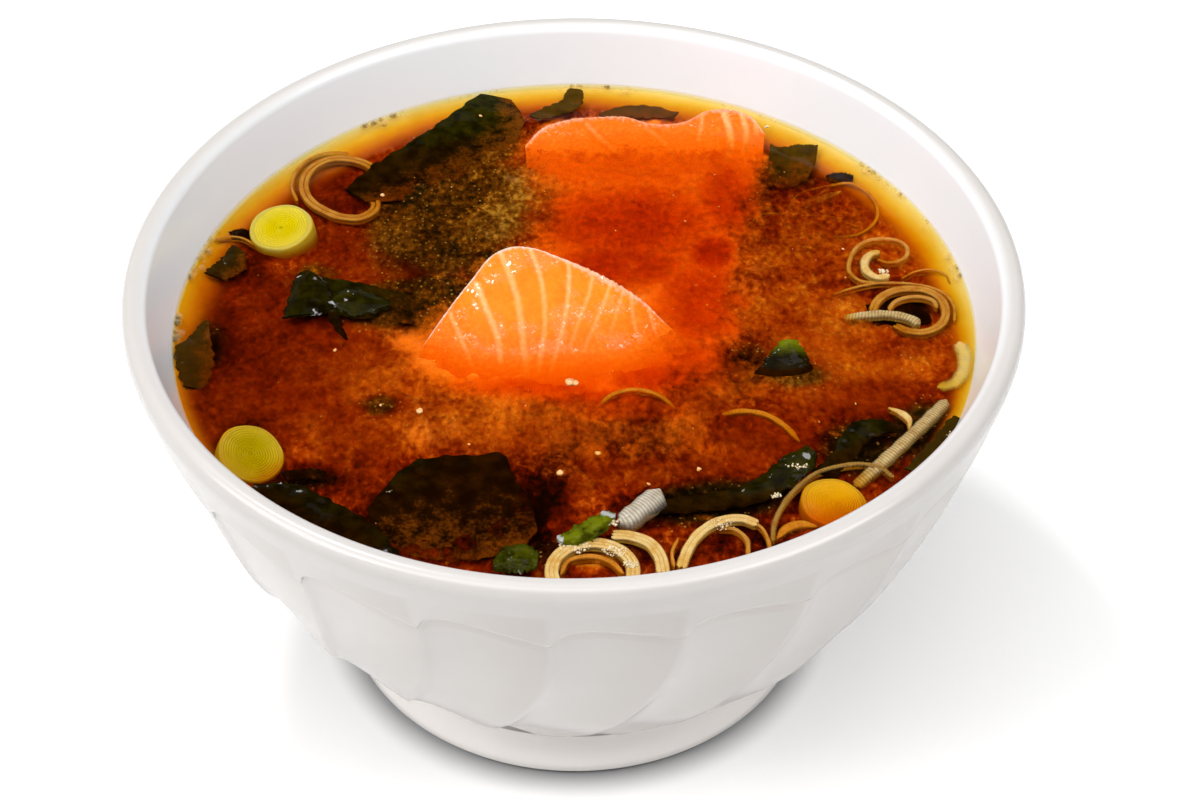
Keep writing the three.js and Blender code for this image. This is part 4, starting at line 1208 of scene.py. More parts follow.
# A strip along a path of [x, y, lift] corners as seen in plan: a rounded bar whose upper edge is at
# the lift above the level, moved along Y so that it is seen there, and to its side by the shift.
def stripShape(own, shift=0.0):
    look = {**plainStrip, **own}
    corners, closed = np.array(look["path"], float), look["closed"]
    length = np.linalg.norm(np.diff(corners[:, :2], axis=0), axis=1).sum()
    path = pathThrough(corners, max(24, int(length * look["perMillimetre"])), closed)
    path[:, 1] -= slant * path[:, 2] * 0.9
    if closed:
        tangent = np.roll(path, -1, 0) - np.roll(path, 1, 0)
    else:
        tangent = np.gradient(path, axis=0)
    side = np.stack([tangent[:, 1], -tangent[:, 0]], -1)
    side /= np.linalg.norm(side, axis=1, keepdims=True)
    path[:, :2] += shift * side
    run = np.concatenate([[0], np.cumsum(np.linalg.norm(np.diff(path, axis=0), axis=1))])
    turn = np.linspace(0, 2 * math.pi, look["around"], endpoint=False)
    flat, tall = np.cos(turn), np.sin(turn)
    square = (np.abs(flat) ** 3 + np.abs(tall) ** 3) ** (-1 / 3)  # a rounded square
    flat, tall = flat * square, tall * square
    ends = np.ones(len(path))
    if not closed:
        taper = look["taper"] * look["width"] + 0.05
        ends = np.maximum(np.clip(np.minimum(run, run[-1] - run) / taper, 0, 1) ** 0.5, 0.25)
    uneven = 1 + look["uneven"] * ripple(path[:, 0], path[:, 1], look["unevenSize"], 61)[:, None]
    half = 0.6 * look["width"] * ends[:, None] * uneven * flat
    rise = look["height"] / 2 * (tall[None, :] - 1) + look["arch"] * (1 - flat**2) * (tall > 0)
    x, y = path[:, :1] + side[:, :1] * half, path[:, 1:2] + side[:, 1:] * half
    points, faces = closedSkin(np.stack([x, y, level + path[:, 2:] + rise], -1), closed)
    marks = {
        "along": np.repeat(run[:, None], len(turn), 1),
        "across": np.repeat(flat[None, :], len(path), 0),
    }
    return points, faces, marks


# Corners of an ellipse in plan round a middle, its lift varying from its near to its far side.
def ellipsePath(middle, halves, lift):
    t = np.radians(np.arange(0, 360, 30))
    rise = lift[0] + (lift[1] - lift[0]) * (0.5 + 0.5 * np.sin(t))
    return np.stack([middle[0] + halves[0] * np.cos(t), middle[1] + halves[1] * np.sin(t), rise], -1)


# Leek in thin strips. Where one has layers, they are strips beside each other, this far apart.
strips = {
    "leek_ring_left": {
        "path": [
            [-36.4, 41, -0.8], [-38.6, 43.2, -0.2], [-41.4, 44.4, 0.1], [-44.4, 44.6, 0.2],
            [-47, 43.2, 0.2], [-48.8, 40.4, 0.2], [-49.3, 36.6, 0.2], [-48, 32.4, 0.1], [-45, 29.2, 0.1],
            [-41.6, 27.3, 0], [-38.4, 27.2, -0.1], [-36.4, 29, -0.3], [-36, 31.2, -0.6],
            [-37.2, 33.4, -1.1],
        ],
        "width": 0.95, "layers": 2, "apart": 0.9,
    },
    "leek_arc_left": {
        "path": [
            [-50.2, 32, -0.5], [-51.5, 36.4, 0], [-50.9, 41, 0.1], [-48.8, 44.6, 0.1], [-45.6, 46.4, 0],
            [-42, 46.4, -0.4],
        ],
        "width": 0.7,
    },
    "leek_strip_left": {
        "path": [
            [-63.6, 20.6, 0.1], [-61.4, 21.5, 0.2], [-58.9, 21.2, 0.1], [-56.8, 19.6, -0.4],
            [-55, 17.4, -1.6],
        ],
        "width": 0.55,
    },
    "leek_coil_right": {
        "path": [
            [52.4, 8.9, -0.3], [49.4, 9.4, -0.2], [47.7, 11.8, -0.2], [48, 15.2, -0.1], [49.3, 18.4, 0],
            [51.4, 20.4, 0.1], [54.4, 21, 0.1], [57.2, 20.2, 0.1], [58.3, 18.2, 0.1], [57.8, 16, 0],
            [56.2, 14.7, -0.2], [54.3, 14.6, -0.5], [52.9, 15.6, -1],
        ],
        "width": 0.9, "finish": "leekClear",
    },
    "leek_curl_right": {
        "path": [
            [53.4, 17.6, -0.4], [51.6, 16.6, 0], [50.4, 14.2, 0.3], [50.7, 11.8, 0.4], [52.3, 10.3, 0.5],
            [54.4, 10.8, 0.5],
        ],
        "width": 1.5, "finish": "leekPale",
    },
    "leek_arc_right": {
        "path": [
            [44.6, 6, -0.9], [47.6, 7.3, -0.1], [51.8, 8.6, 0.2], [56.1, 8.7, 0.2], [60.4, 7.9, 0.2],
            [63.4, 6, 0.2], [64.7, 2.7, 0.1], [64.5, -1.4, -0.3],
        ],
        "width": 0.6,
    },
    "leek_ring_right": {
        "path": [
            [50.8, 1.4, -0.5], [51.6, 3.6, 0], [53.6, 6, 0.2], [57, 7.2, 0.3], [60.2, 6.8, 0.3],
            [62.4, 5, 0.3], [63.2, 2.2, 0.2], [62.7, -1, 0.1], [61, -3.2, 0], [58.4, -4.2, 0],
            [56, -3.6, -0.2], [54.4, -2.2, -0.8],
        ],
        "width": 0.9, "layers": 2, "apart": 0.7,
    },
    "leek_curl_inner": {
        "path": [
            [53.6, 1.6, -0.3], [54.6, 3.5, 0.1], [56.8, 4.8, 0.2], [59.6, 4.9, 0.2], [61.4, 3.9, 0.1],
            [61.9, 2, -0.3],
        ],
        "width": 1.0, "finish": "leekClear",
    },
    "leek_end_right": {
        "path": [
            [45.8, -0.4, -1], [49, 0.2, 0.1], [52.4, 0.5, 0.5], [55.3, 0, 0.5], [57.3, -1, 0.4],
            [58.5, -2.2, 0],
        ],
        "width": 1.8, "finish": "leekRibbed", "arch": 0.2,
    },
    "leek_piece_wall": {
        "path": [
            [64.6, -6.8, 0], [65.2, -9.6, 0.2], [65, -12.4, 0.1], [64.1, -15.2, 0], [62.6, -17.2, -0.4],
            [60, -18, -1],
        ],
        "width": 3.0, "height": 1.0, "finish": "leekYellow",
    },
    "leek_strip_ribbed": {
        "path": [
            [60.9, -21.4, 0.1], [56.4, -27, 0.7], [52.3, -32, 0.6], [48.4, -36.7, 0.2],
            [44.6, -41.4, -1.1],
        ],
        "width": 2.1, "height": 1.3, "finish": "leekRibbed", "arch": 0.15,
    },
    "leek_hook_right": {
        "path": [[51.4, -23.1, -0.4], [53.2, -24.2, 0.1], [54.3, -25.8, 0.2], [54.3, -28.2, -0.4]],
        "width": 1.5, "finish": "leekPale", "taper": 2.2,
    },
    "leek_arc_front_right": {
        "path": [
            [30.9, -53.4, -0.3], [31.3, -49.6, 0.1], [32.8, -45.6, 0.2], [35.5, -41.4, 0.2],
            [38.6, -38.3, 0.3], [42.2, -36.8, 0.3], [46, -36.3, 0.4], [48.8, -37.2, 0.3],
            [50.7, -39.4, 0],
        ],
        "width": 0.95, "finish": "leekDim",
    },
    "leek_arc_front": {
        "path": [
            [16.7, -59, -0.2], [17.9, -54.7, 0.2], [20, -51.2, 0.4], [23, -48.9, 0.5],
            [26.3, -48.4, 0.4], [28.7, -49.6, 0.2],
        ],
        "width": 1.0, "layers": 2, "apart": 0.75, "finish": "leekPale",
    },
    "leek_arc_inner": {
        "path": [[22.6, -50.6, -0.3], [25, -50.8, 0], [26.8, -52.8, 0], [27, -56.4, -0.3]],
        "width": 0.9, "finish": "leekClear",
    },
    "leek_arc_outer": {
        "path": [[27.6, -48.9, 0.1], [29.2, -50.4, 0.1], [30.2, -53.2, 0.1], [30.4, -56, -0.2]],
        "width": 0.6,
    },
    "leek_ring_front": {
        "path": ellipsePath((3.2, -59.6), (6.2, 5.9), (0, 0.5)),
        "width": 0.85, "layers": 3, "apart": 0.66, "closed": True, "finish": "leekPale",
    },
    "leek_arc_double": {
        "path": [
            [6.2, -51.9, 0.1], [9.3, -52.3, 0.4], [11.8, -53.6, 0.5], [13.4, -56.3, 0.5], [14, -60, 0.3],
        ],
        "width": 0.8, "layers": 3, "apart": 0.64, "finish": "leekPale",
    },
    "leek_end_front": {
        "path": [[7.3, -49.6, 0.5], [9.5, -47.2, 1.2], [11.7, -44.8, 1.3], [13.7, -42.6, 1]],
        "width": 3.4, "height": 2.4, "finish": "leekWhite", "arch": 0.5,
    },
}
for name, own in strips.items():
    look = {**plainStrip, **own}
    shifts = (np.arange(look["layers"]) - (look["layers"] - 1) / 2) * look["apart"]
    points, faces, marks = joined([stripShape(look, shift) for shift in shifts])
    addPiece(name + "_layers", points, faces, finishes[look["finish"]], "leek", [name], marks, 50)

# Strips wholly under the surface.
sunkStrips = [  # width, then the path
    (0.8, [
        [3.8, -22.8, -1.9], [6.4, -19.7, -0.9], [10.5, -18.5, -0.7], [14, -19.9, -0.9],
        [16.7, -23, -1.9],
    ]),
    (1.1, [
        [24, -24.6, -1.7], [27, -23.7, -0.9], [31, -24.4, -0.8], [34.6, -27.6, -1.1], [36.6, -31, -1.9],
    ]),
    (1.7, [[39, 29, -1.6], [43, 32.2, -1.0], [48, 35, -0.8]]),
    (0.7, [
        [45, 36.6, -1.2], [50, 37.4, -0.8], [53.6, 33, -0.9], [53.8, 27, -1.1], [50, 22.6, -1.3],
        [44.6, 22, -1.8],
    ]),
    (0.5, [
        [45, 36.6, -1.2], [40.4, 34.4, -1.3], [38.3, 29, -1.5], [39.4, 24.4, -1.6], [44.6, 22, -1.8],
    ]),
    (0.5, [[30, 24.4, -2.0], [34, 28.6, -1.4], [39, 28, -1.3], [46, 27.6, -1.3], [50.5, 24.6, -1.6]]),
    (0.5, [[38, 26.6, -1.8], [41, 31.4, -1.3], [46, 36, -1.1]]),
    (0.4, [
        [56.7, 10.2, -0.9], [59, 11.9, -0.4], [62.1, 12.5, -0.2], [64.2, 11.3, -0.2], [64.9, 8.5, -0.6],
    ]),
    (1.8, [[31.6, -52.8, -0.8], [33.4, -50.4, -0.6], [35.6, -49.6, -0.6], [38, -50.2, -0.9]]),
    (0.9, [
        [-1.6, -60.4, -0.5], [-0.7, -57.7, -0.4], [2.7, -56.5, -0.3], [6, -57.7, -0.4], [8, -60.4, -0.5],
    ]),
    (0.6, [[16.4, -52.8, -0.5], [15.4, -55.6, -0.3], [15.6, -59, -0.3]]),
    (2.4, [[-19.2, -58.2, -1.6], [-18.2, -56.4, -1.2], [-17, -54.4, -1.7]]),
]
points, faces, marks = joined(
    [stripShape({"path": path, "width": width, "height": 1.4, "taper": 1.5}) for width, path in sunkStrips]
)
addPiece("leek_sunk_layers", points, faces, finishes["leekSunk"], "leek", marks=marks)
print("leek made")


plainLeaf = {  # what a leaf has unless it says otherwise
    "grid": (60, 26),
    "thickness": 0.45,
    "ragged": 0.35,  # height of its edges' teeth
    "wave": 0.3,  # height and length of its waves
    "waveSize": 9,
    "crown": 0.0,  # rise of its middle over its edges
    "green": 0.0,  # how green it is, and how much more so at its tip
    "greenTip": 0.0,
    "mist": (0.0, 0.0),  # dust of miso at one edge and the other, and how much more at its tip
    "mistTip": 0.0,
    "thin": 0.0,
    # share of painted highlights on its folds
    "gleam": 0.0,
}


# A thin sheet between two edges of [x, y, lift] corners as seen in plan. It waves more towards its
# rim, its edges are ragged, and both faces are the same grid.
def leafShape(own, seed):
    look = {**plainLeaf, **own}
    rows, columns = look["grid"]
    left, right = [pathThrough(edge, rows) for edge in look["edges"]]
    share, down = np.linspace(0, 1, columns)[None, :], np.linspace(0, 1, rows)[:, None]
    rim = np.abs(2 * share - 1)
    teeth = look["ragged"] * ripple(np.arange(rows)[:, None] * 0.9, share * 40, 12, seed) * (rim > 0.85)
    width = np.maximum(np.linalg.norm(left - right, axis=1)[:, None], 2)
    pull = share + teeth / width * np.sign(share - 0.5)
    middle = left[:, None] * (1 - pull[..., None]) + right[:, None] * pull[..., None]
    wave = look["wave"] * ripple(middle[..., 0], middle[..., 1], look["waveSize"], seed)
    middle[..., 2] += wave * (0.35 + 0.65 * rim) + look["crown"] * np.sin(math.pi * share)
    middle[..., 1] -= slant * middle[..., 2] * 0.9
    middle[..., 2] += level
    thick = look["thickness"] * (0.3 + 0.7 * np.sqrt(1 - rim**6))
    half = np.stack([0 * thick, 0 * thick, thick / 2], -1)
    points, faces = closedSkin(np.concatenate([middle - half, (middle + half)[:, ::-1]], 1))
    low, high = look["mist"]
    faceMarks = {
        "green": look["green"] + look["greenTip"] * softStep(down, 0.5, 1) + 0 * share,
        "mist": low + (high - low) * share + look["mistTip"] * softStep(down, 0.3, 1),
        "thin": look["thin"] + 0 * (down + share),
        "gleam": look["gleam"] + 0 * (down + share),
    }
    marks = {name: np.concatenate([mark, mark[:, ::-1]], 1) for name, mark in faceMarks.items()}
    return points, faces, marks


leaves = {
    "wakame_back_left": {
        "edges": [
            [
                [-42, 35.4, -0.9], [-37.5, 42, -0.4], [-32.5, 47.6, 0.1], [-28, 52.4, 0.5],
                [-24, 57.4, 0.7], [-21, 61.6, 0.7], [-18.4, 64.6, 0.4],
            ],
            [
                [-37.6, 31.6, -0.7], [-31, 32.6, -1.6], [-23, 38, -1.7], [-15, 44.4, -1.2],
                [-10.6, 51, -0.4], [-10.2, 57.4, 0], [-12.6, 63, 0],
            ],
        ],
        "wave": 0.22, "waveSize": 14, "mist": (-0.4, 1.0), "grid": (80, 40), "green": 0.03,
        "greenTip": 0.06,
    },
    "wakame_back": {
        "edges": [
            [[-9, 58, -0.4], [-6, 60.6, 0.1], [-3.2, 62.2, 0.5], [-2.2, 64.4, 1.0], [-1.6, 66, 1.2]],
            [[-7, 56.8, -0.6], [-3, 58.2, -0.1], [0, 60, 0.3], [1.2, 63, 0.7], [0.9, 65.6, 1.1]],
        ],
        "wave": 0.2, "green": 0.14, "thin": 0.6, "mist": (-0.1, 0.4),
    },
    "wakame_left": {
        "edges": [
            [[-46, 10.6, 0.1], [-42, 9.8, 0.2], [-38.3, 8.9, 0.1], [-31.7, 6.6, -0.3], [-25, 4, -0.9]],
            [
                [-44, 1.6, -0.2], [-41.1, 0.2, 0], [-36.3, -0.8, -0.3], [-31.3, -1.3, -0.9],
                [-24, -3.4, -1.6],
            ],
        ],
        "wave": 0.2, "waveSize": 11, "green": 0.04, "grid": (60, 30), "mist": (-0.2, 0.3),
        "mistTip": 0.6,
        "more": [
            {
                "edges": [
                    [
                        [-49.6, -0.9, 0.1], [-49.1, 3, 0.5], [-48.5, 7.2, 0.6], [-47.9, 10.6, 0.4],
                        [-46.6, 12, 0],
                    ],
                    [
                        [-42.8, 0.2, 0], [-41.4, 1.4, 0.3], [-41.3, 4, 0.5], [-42.2, 7.4, 0.4],
                        [-44.4, 10.4, 0],
                    ],
                ],
                "crown": 1.2, "wave": 0.16, "waveSize": 7, "green": 0.03, "gleam": 0.9, "grid": (46, 30),
            },
            {
                "edges": [
                    [
                        [-42.2, 3.4, -0.2], [-40.8, 6.1, 0.2], [-38.2, 7.0, 0.3], [-34.9, 5.9, 0.1],
                        [-31.6, 3.6, -0.4],
                    ],
                    [
                        [-41.6, 2.2, -0.2], [-40.3, 0.9, 0.1], [-38.2, -0.1, 0.2], [-35.1, -0.1, 0],
                        [-31.4, 1.6, -0.4],
                    ],
                ],
                "crown": 0.9, "wave": 0.1, "waveSize": 6, "green": 0.06, "gleam": 0.6, "grid": (46, 26),
            },
            {
                "edges": [
                    [[-42.2, 1.6, 0], [-41.6, -1.4, -0.1], [-40, -4.2, -0.2], [-38.5, -6.2, -0.4]],
                    [[-40.2, 1.4, 0], [-39.6, -1.6, -0.1], [-38.8, -4, -0.2], [-38.1, -6.0, -0.4]],
                ],
                "wave": 0.1, "grid": (24, 8),
            },
        ],
    },
    "wakame_left_small": {
        "edges": [
            [[-64.4, 11.4, 0], [-61.8, 15, 0.3], [-60.2, 19, 0.2]],
            [[-60.4, 9.4, -0.8], [-57.6, 12.6, -0.8], [-57.8, 17, -0.5]],
        ],
        "green": 0.03, "thin": 0.2, "mist": (-0.2, 0.8),
    },
    "wakame_left_edge": {
        "edges": [
            [
                [-62.8, -1.5, 0.1], [-64.4, -5.4, 0.2], [-66.6, -8.4, 0.3], [-66.2, -12, 0.2],
                [-64, -18, -0.4],
            ],
            [
                [-61.8, -1.8, 0], [-61.2, -6, -0.4], [-60.4, -10, -1], [-60.2, -14, -1.4],
                [-61, -19, -1.6],
            ],
        ],
        "green": 0.03, "thin": 0.5, "mist": (-0.2, 0.9),
    },
    "wakame_front_left": {
        "edges": [
            [
                [-50, -41, 0], [-45.4, -40.8, 0.3], [-41.2, -42, 0.4], [-38.8, -44, 0.4],
                [-35.6, -46, 0.2], [-31.4, -49.4, 0.1], [-28.6, -52.4, 0.2], [-26.4, -56.4, 0.1],
            ],
            [
                [-50.6, -43, -0.4], [-46.4, -47, -0.4], [-43, -50.2, -0.4], [-39.4, -53, -0.4],
                [-36, -55.4, -0.4], [-32.4, -57.4, -0.4], [-30, -58.6, -0.4], [-28.4, -59.6, -0.4],
            ],
        ],
        "wave": 0.14, "waveSize": 12, "mist": (-0.3, 0.1), "grid": (80, 26),
    },
    "wakame_front": {
        "edges": [
            [
                [-32, -46.4, -0.3], [-29.6, -42, 0], [-27, -37.6, 0.1], [-25.4, -36, 0.1],
                [-20.4, -34.6, -0.1], [-14, -34.2, -0.2], [-11.6, -33.6, -0.2], [-9.6, -38, -0.6],
                [-6.4, -45, -1],
            ],
            [
                [-30.6, -52.6, -0.8], [-27, -55.6, -0.8], [-23, -57, -0.8], [-19.6, -57.6, -0.8],
                [-16, -57.6, -0.8], [-13, -57, -0.8], [-10, -56, -0.8], [-7, -54, -1], [-5.4, -51, -1.2],
            ],
        ],
        "wave": 0.16, "mist": (-0.2, 0.8), "grid": (90, 44),
    },
    "wakame_front_bump": {
        "edges": [
            [
                [-12, -57.6, 0], [-10.4, -55.2, 0.8], [-8.6, -54.2, 1.3], [-6.6, -54.4, 1.2],
                [-5, -56.2, 0.3],
            ],
            [[-11.6, -60, 0], [-10.2, -60, 0.3], [-8.4, -60.2, 0.5], [-6.6, -60, 0.4], [-5.2, -59.4, 0]],
        ],
        "wave": 0.25, "waveSize": 4, "green": 0.3, "gleam": 0.7, "crown": 0.6, "thickness": 0.5,
    },
    "wakame_front_green": {
        "edges": [
            [
                [-2.4, -53, 0.2], [-0.4, -51.2, 0.8], [2.6, -48.8, 1.3], [5.4, -47.2, 1.2],
                [6.8, -47.6, 0.5],
            ],
            [[-1.2, -54.6, 0.1], [1, -54.2, 0.5], [3.4, -53, 0.8], [5.4, -51, 0.7], [6.6, -49.2, 0.4]],
        ],
        "wave": 0.35, "waveSize": 4, "green": 1.0, "gleam": 0.7, "crown": 0.9, "thickness": 0.55,
    },
    "wakame_front_right": {
        "edges": [
            [
                [12, -45, -0.6], [18, -43.6, -0.3], [25, -42, -0.1], [30.2, -38.8, 0.3],
                [32.4, -36, 1.1], [35, -33.8, 1.8], [37.2, -32.4, 1.9],
            ],
            [
                [12, -47.6, -1], [18, -47.4, -0.9], [25, -46.4, -0.8], [31, -44.4, -0.5], [35, -41, 0.1],
                [37.8, -37.6, 0.6], [39, -34.8, 0.9],
            ],
        ],
        "wave": 0.25, "waveSize": 9, "green": 0.02, "greenTip": 0.06, "crown": 0.3, "grid": (90, 26),
        "gleam": 0.4,
    },
    "wakame_right": {
        "edges": [
            [
                [38, -38, -0.6], [41, -34.6, -0.1], [42.8, -30.6, 0.6], [44.6, -27.4, 0.9],
                [48.8, -26, 0.6], [52, -27, -0.2],
            ],
            [
                [41, -40, -1], [44, -36.6, -0.8], [46, -33.4, -0.4], [47.4, -31, -0.1],
                [50, -29.6, -0.1], [52.4, -29, -0.4],
            ],
        ],
        "wave": 0.25, "waveSize": 9, "green": 0.02,
    },
    "wakame_tip": {
        "edges": [
            [[28.6, -16, -1.2], [30.6, -13.6, -0.2], [32.6, -10, 1.1], [34.6, -7, 2.0]],
            [[41, -15.4, -1.2], [39.4, -12.8, -0.2], [38.4, -9.6, 1.1], [37.2, -7, 1.9]],
        ],
        "wave": 0.1, "greenTip": 0.9, "crown": 0.5, "thickness": 0.5,
    },
    "wakame_back_right": {
        "edges": [
            [[35.8, 48.6, 0], [38, 47.8, 0.1], [41, 48.6, 0.3], [44.6, 48.4, 0.4]],
            [[34.6, 37, -1.6], [38, 36, -1.6], [41.6, 38, -1], [43.8, 43, 0]],
        ],
        "wave": 0.2, "green": 0.12, "thin": 0.5, "mist": (0.1, 0.9),
    },
    "wakame_edge_right": {
        "edges": [
            [[52.6, -37.6, 0.1], [56, -33, 0.3], [59, -28.8, 0.4], [61.6, -25.2, 0.3]],
            [[54.6, -38.6, -0.2], [57.6, -34.6, -0.1], [60.6, -30.6, -0.1], [63.2, -26.4, -0.1]],
        ],
        "wave": 0.15, "green": 0.06, "thin": 0.4, "mist": (-0.3, 0.0), "gleam": 0.4,
    },
}
for number, (name, look) in enumerate(leaves.items()):
    points, faces, marks = joined([leafShape(part, 50 + number) for part in (look, *look.get("more", ()))])
    addPiece(name + "_leaf", points, faces, finishes["wakame"], "wakame", [name], marks, 70)

# Leaves wholly under the surface.
sunkLeaves = [
    {
        "edges": [
            [[-46, -38.4, -0.3], [-42, -37.6, -0.2], [-39, -38.2, -0.4]],
            [[-45, -40.4, -0.8], [-42, -40, -0.8], [-39.6, -40, -0.8]],
        ],
        "mist": (0.1, 0.4),
    },
    {
        "edges": [
            [[45.6, 39.6, -0.8], [48, 40.4, -0.6], [50.6, 39.6, -0.8]],
            [[46, 37.6, -1], [48.4, 37.8, -1], [50.4, 37.8, -1]],
        ],
        "mist": (0.3, 0.5),
    },
    {
        "edges": [
            [[4, 58.4, -0.3], [8.5, 60.8, -0.2], [14, 61, -0.2], [19, 58.8, -0.3]],
            [[5, 57.6, -0.7], [10, 57.4, -0.7], [14, 57.4, -0.7], [18, 57.4, -0.7]],
        ],
        "thin": 1.0, "mist": (0.4, 0.9),
    },
    {
        "edges": [
            [[-61.4, 22.8, -0.3], [-59, 23.6, -0.2], [-56.6, 22.4, -0.4]],
            [[-60.4, 20.4, -0.9], [-58.4, 20.4, -0.9], [-56.4, 20, -0.9]],
        ],
        "mist": (0.0, 0.3),
    },
    {
        "edges": [
            [[50, 3, -1.6], [55, 5, -1.5], [60, 4, -1.6]],
            [[51, -2, -1.8], [56, -3, -1.8], [61, -1.6, -1.8]],
        ],
        "mist": (0.2, 0.4),
    },
]
points, faces, marks = joined([leafShape(look, 80 + k) for k, look in enumerate(sunkLeaves)])
addPiece("wakame_sunk_leaves", points, faces, finishes["wakame"], "wakame", marks=marks)
print("wakame made")


# Many small domes in one shape: the same few rings of points, scaled and moved to each place.
def beads(places, sizes, flat=1.0):
    rings, around, pole = 5, 9, 0.12
    polar = np.linspace(pole, math.pi - pole, rings)[:, None]
    angle = np.linspace(0, 2 * math.pi, around, endpoint=False)[None, :]
    across, up = np.sin(polar), np.cos(polar) * flat
    ball = np.stack([across * np.cos(angle), across * np.sin(angle), up + 0 * angle], -1)
    points, faces = closedSkin(ball)
    everyPoint = places[:, None] + points[None] * sizes[:, None, None]
    offsets = (np.arange(len(places)) * len(points))[:, None, None]
    everyFace = [(group[None] + offsets).reshape(-1, group.shape[1]) for group in facingOut(points, faces)]
    return everyPoint.reshape(-1, 3), everyFace


# Clusters of bubbles along the wall: azimuths in degrees from +X, count, smallest and largest.
wallBubbles = [
    (119, 127, 26, 0.18, 0.75), (160, 172, 34, 0.2, 0.7), (179.5, 186.5, 30, 0.2, 0.75),
    (80, 93, 26, 0.18, 0.6), (28, 40, 34, 0.18, 0.6), (6, 14, 22, 0.18, 0.55), (20, 24, 5, 0.2, 0.45),
    (100, 112, 8, 0.15, 0.35), (140, 152, 7, 0.15, 0.35), (56, 66, 6, 0.15, 0.35),
]
# Foam on the leek and leaves: x, y, height, spread, count, smallest and largest.
foamSpots = [
    (53.4, 11.9, 0.6, 1.0, 34, 0.1, 0.24), (23, -49.8, 0.6, 2.2, 60, 0.08, 0.17),
    (0.5, -54.4, 0.5, 2.4, 110, 0.08, 0.22), (6.6, -55.4, 0.5, 2.0, 100, 0.08, 0.22),
    (9.0, -58.2, 0.5, 1.2, 50, 0.08, 0.2),
    (6.2, -49.2, 1.2, 1.2, 26, 0.12, 0.3), (35.4, -36.4, 1.5, 1.8, 44, 0.08, 0.22),
    (31.8, -43.4, 0.4, 0.9, 26, 0.08, 0.2), (-7.4, -56.2, 1.2, 1.4, 24, 0.1, 0.26),
    (60.6, -29.4, 0.3, 1.0, 14, 0.1, 0.24), (35.6, 54.4, 0.1, 0.5, 3, 0.2, 0.35),
    (2.6, -50.6, 1.4, 1.0, 12, 0.12, 0.32), (35.4, -7.2, 2.1, 1.2, 16, 0.08, 0.2),
    (-28.8, -42.6, 0.1, 0.7, 12, 0.08, 0.18), (-43.6, -41.6, 0.2, 1.2, 14, 0.08, 0.2),
]


bubbleLook = {
    "seed": 7,
    "lift": 0.15,  # of their middles over the level
    "flat": 0.8,  # height per width
    "stray": 1.5,  # farthest from the wall
    "sunk": 0.25,  # how much lower than its spot foam may lie
}


# Bubbles of uneven sizes, most of them small, drawn at random close to the wall; and foam, drawn
# about each of its spots, closer together in the middle.
def makeBubbles():
    rng = np.random.default_rng(bubbleLook["seed"])
    places, sizes = [], []
    wallRadius = radiusOn(bowl["inside"][::-1], level)
    for start, stop, count, small, large in wallBubbles:
        size = small + (large - small) * rng.random(count) ** 1.8
        angle = np.radians(rng.uniform(start, stop, count))
        radius = wallRadius - size * 0.7 - rng.random(count) ** 3 * bubbleLook["stray"]
        x, y = radius * np.cos(angle), radius * np.sin(angle)
        places.append(np.stack([x, y, level + bubbleLook["lift"] + 0 * angle], -1))
        sizes.append(size)
    points, faces = beads(np.vstack(places), np.concatenate(sizes), bubbleLook["flat"])
    addPiece("wall_bubbles", points, faces, finishes["bubble"], "broth")
    places, sizes = [], []
    for spotX, spotY, height, spread, count, small, large in foamSpots:
        size = small + (large - small) * rng.random(count) ** 2
        angle, away = rng.uniform(0, 2 * math.pi, count), spread * rng.random(count) ** 0.6
        lower = bubbleLook["sunk"] * rng.random(count)
        x, y = spotX + away * np.cos(angle), spotY - slant * height + away * np.sin(angle) * 0.6
        places.append(np.stack([x, y, level + height - lower], -1))
        sizes.append(size)
    points, faces = beads(np.vstack(places), np.concatenate(sizes))
    addPiece("foam_beads", points, faces, finishes["foam"], "broth")


# Crumbs of miso and leek: x, y as seen in plan, size, and height over the level.
crumbs = [
    (-0.6, -17, 0.85, 0.1), (0.3, -17.2, 0.6, 0.05), (-25, -24, 0.6, 0), (-2, -38.5, 0.65, -0.3),
    (-31.4, -22.6, 0.3, 0), (4, -34, 0.5, -0.5), (20, -37.6, 0.4, -0.3), (-40, -9, 0.3, -0.2),
    (12, -41, 0.35, -0.3), (47, 18, 0.25, 0), (-18, 57.6, 0.3, 0.6), (-34.8, 33.4, 0.4, 0.2),
]


crumbLook = {
    "seed": 11,
    "scattered": 70,  # how many more there are, over this radius
    "reach": 60,
    "flat": 0.55,  # height per width
    "uneven": 0.12,
}


# The crumbs of the table and small ones drawn evenly over the broth, each made uneven by ripples.
def makeCrumbs():
    rng = np.random.default_rng(crumbLook["seed"])
    table, scattered = np.array(crumbs), crumbLook["scattered"]
    angle = rng.uniform(0, 2 * math.pi, scattered)
    away = crumbLook["reach"] * rng.random(scattered) ** 0.5
    x = np.concatenate([table[:, 0], away * np.cos(angle)])
    y = np.concatenate([table[:, 1], away * np.sin(angle)])
    size = np.concatenate([table[:, 2], 0.07 + 0.1 * rng.random(scattered) ** 2])
    height = np.concatenate([table[:, 3], -0.2 - 0.5 * rng.random(scattered)])
    places = np.stack([x, y - slant * height, level + height], -1)
    points, faces = beads(places, size, crumbLook["flat"])
    shifts = [ripple(points[:, 0], points[:, 1], 1.1, 3 + k) for k in range(3)]
    points = points + crumbLook["uneven"] * np.stack(shifts, -1)
    addPiece("crumbs", points, faces, finishes["crumb"], "leek")


makeBubbles()
makeCrumbs()
print("bubbles made")


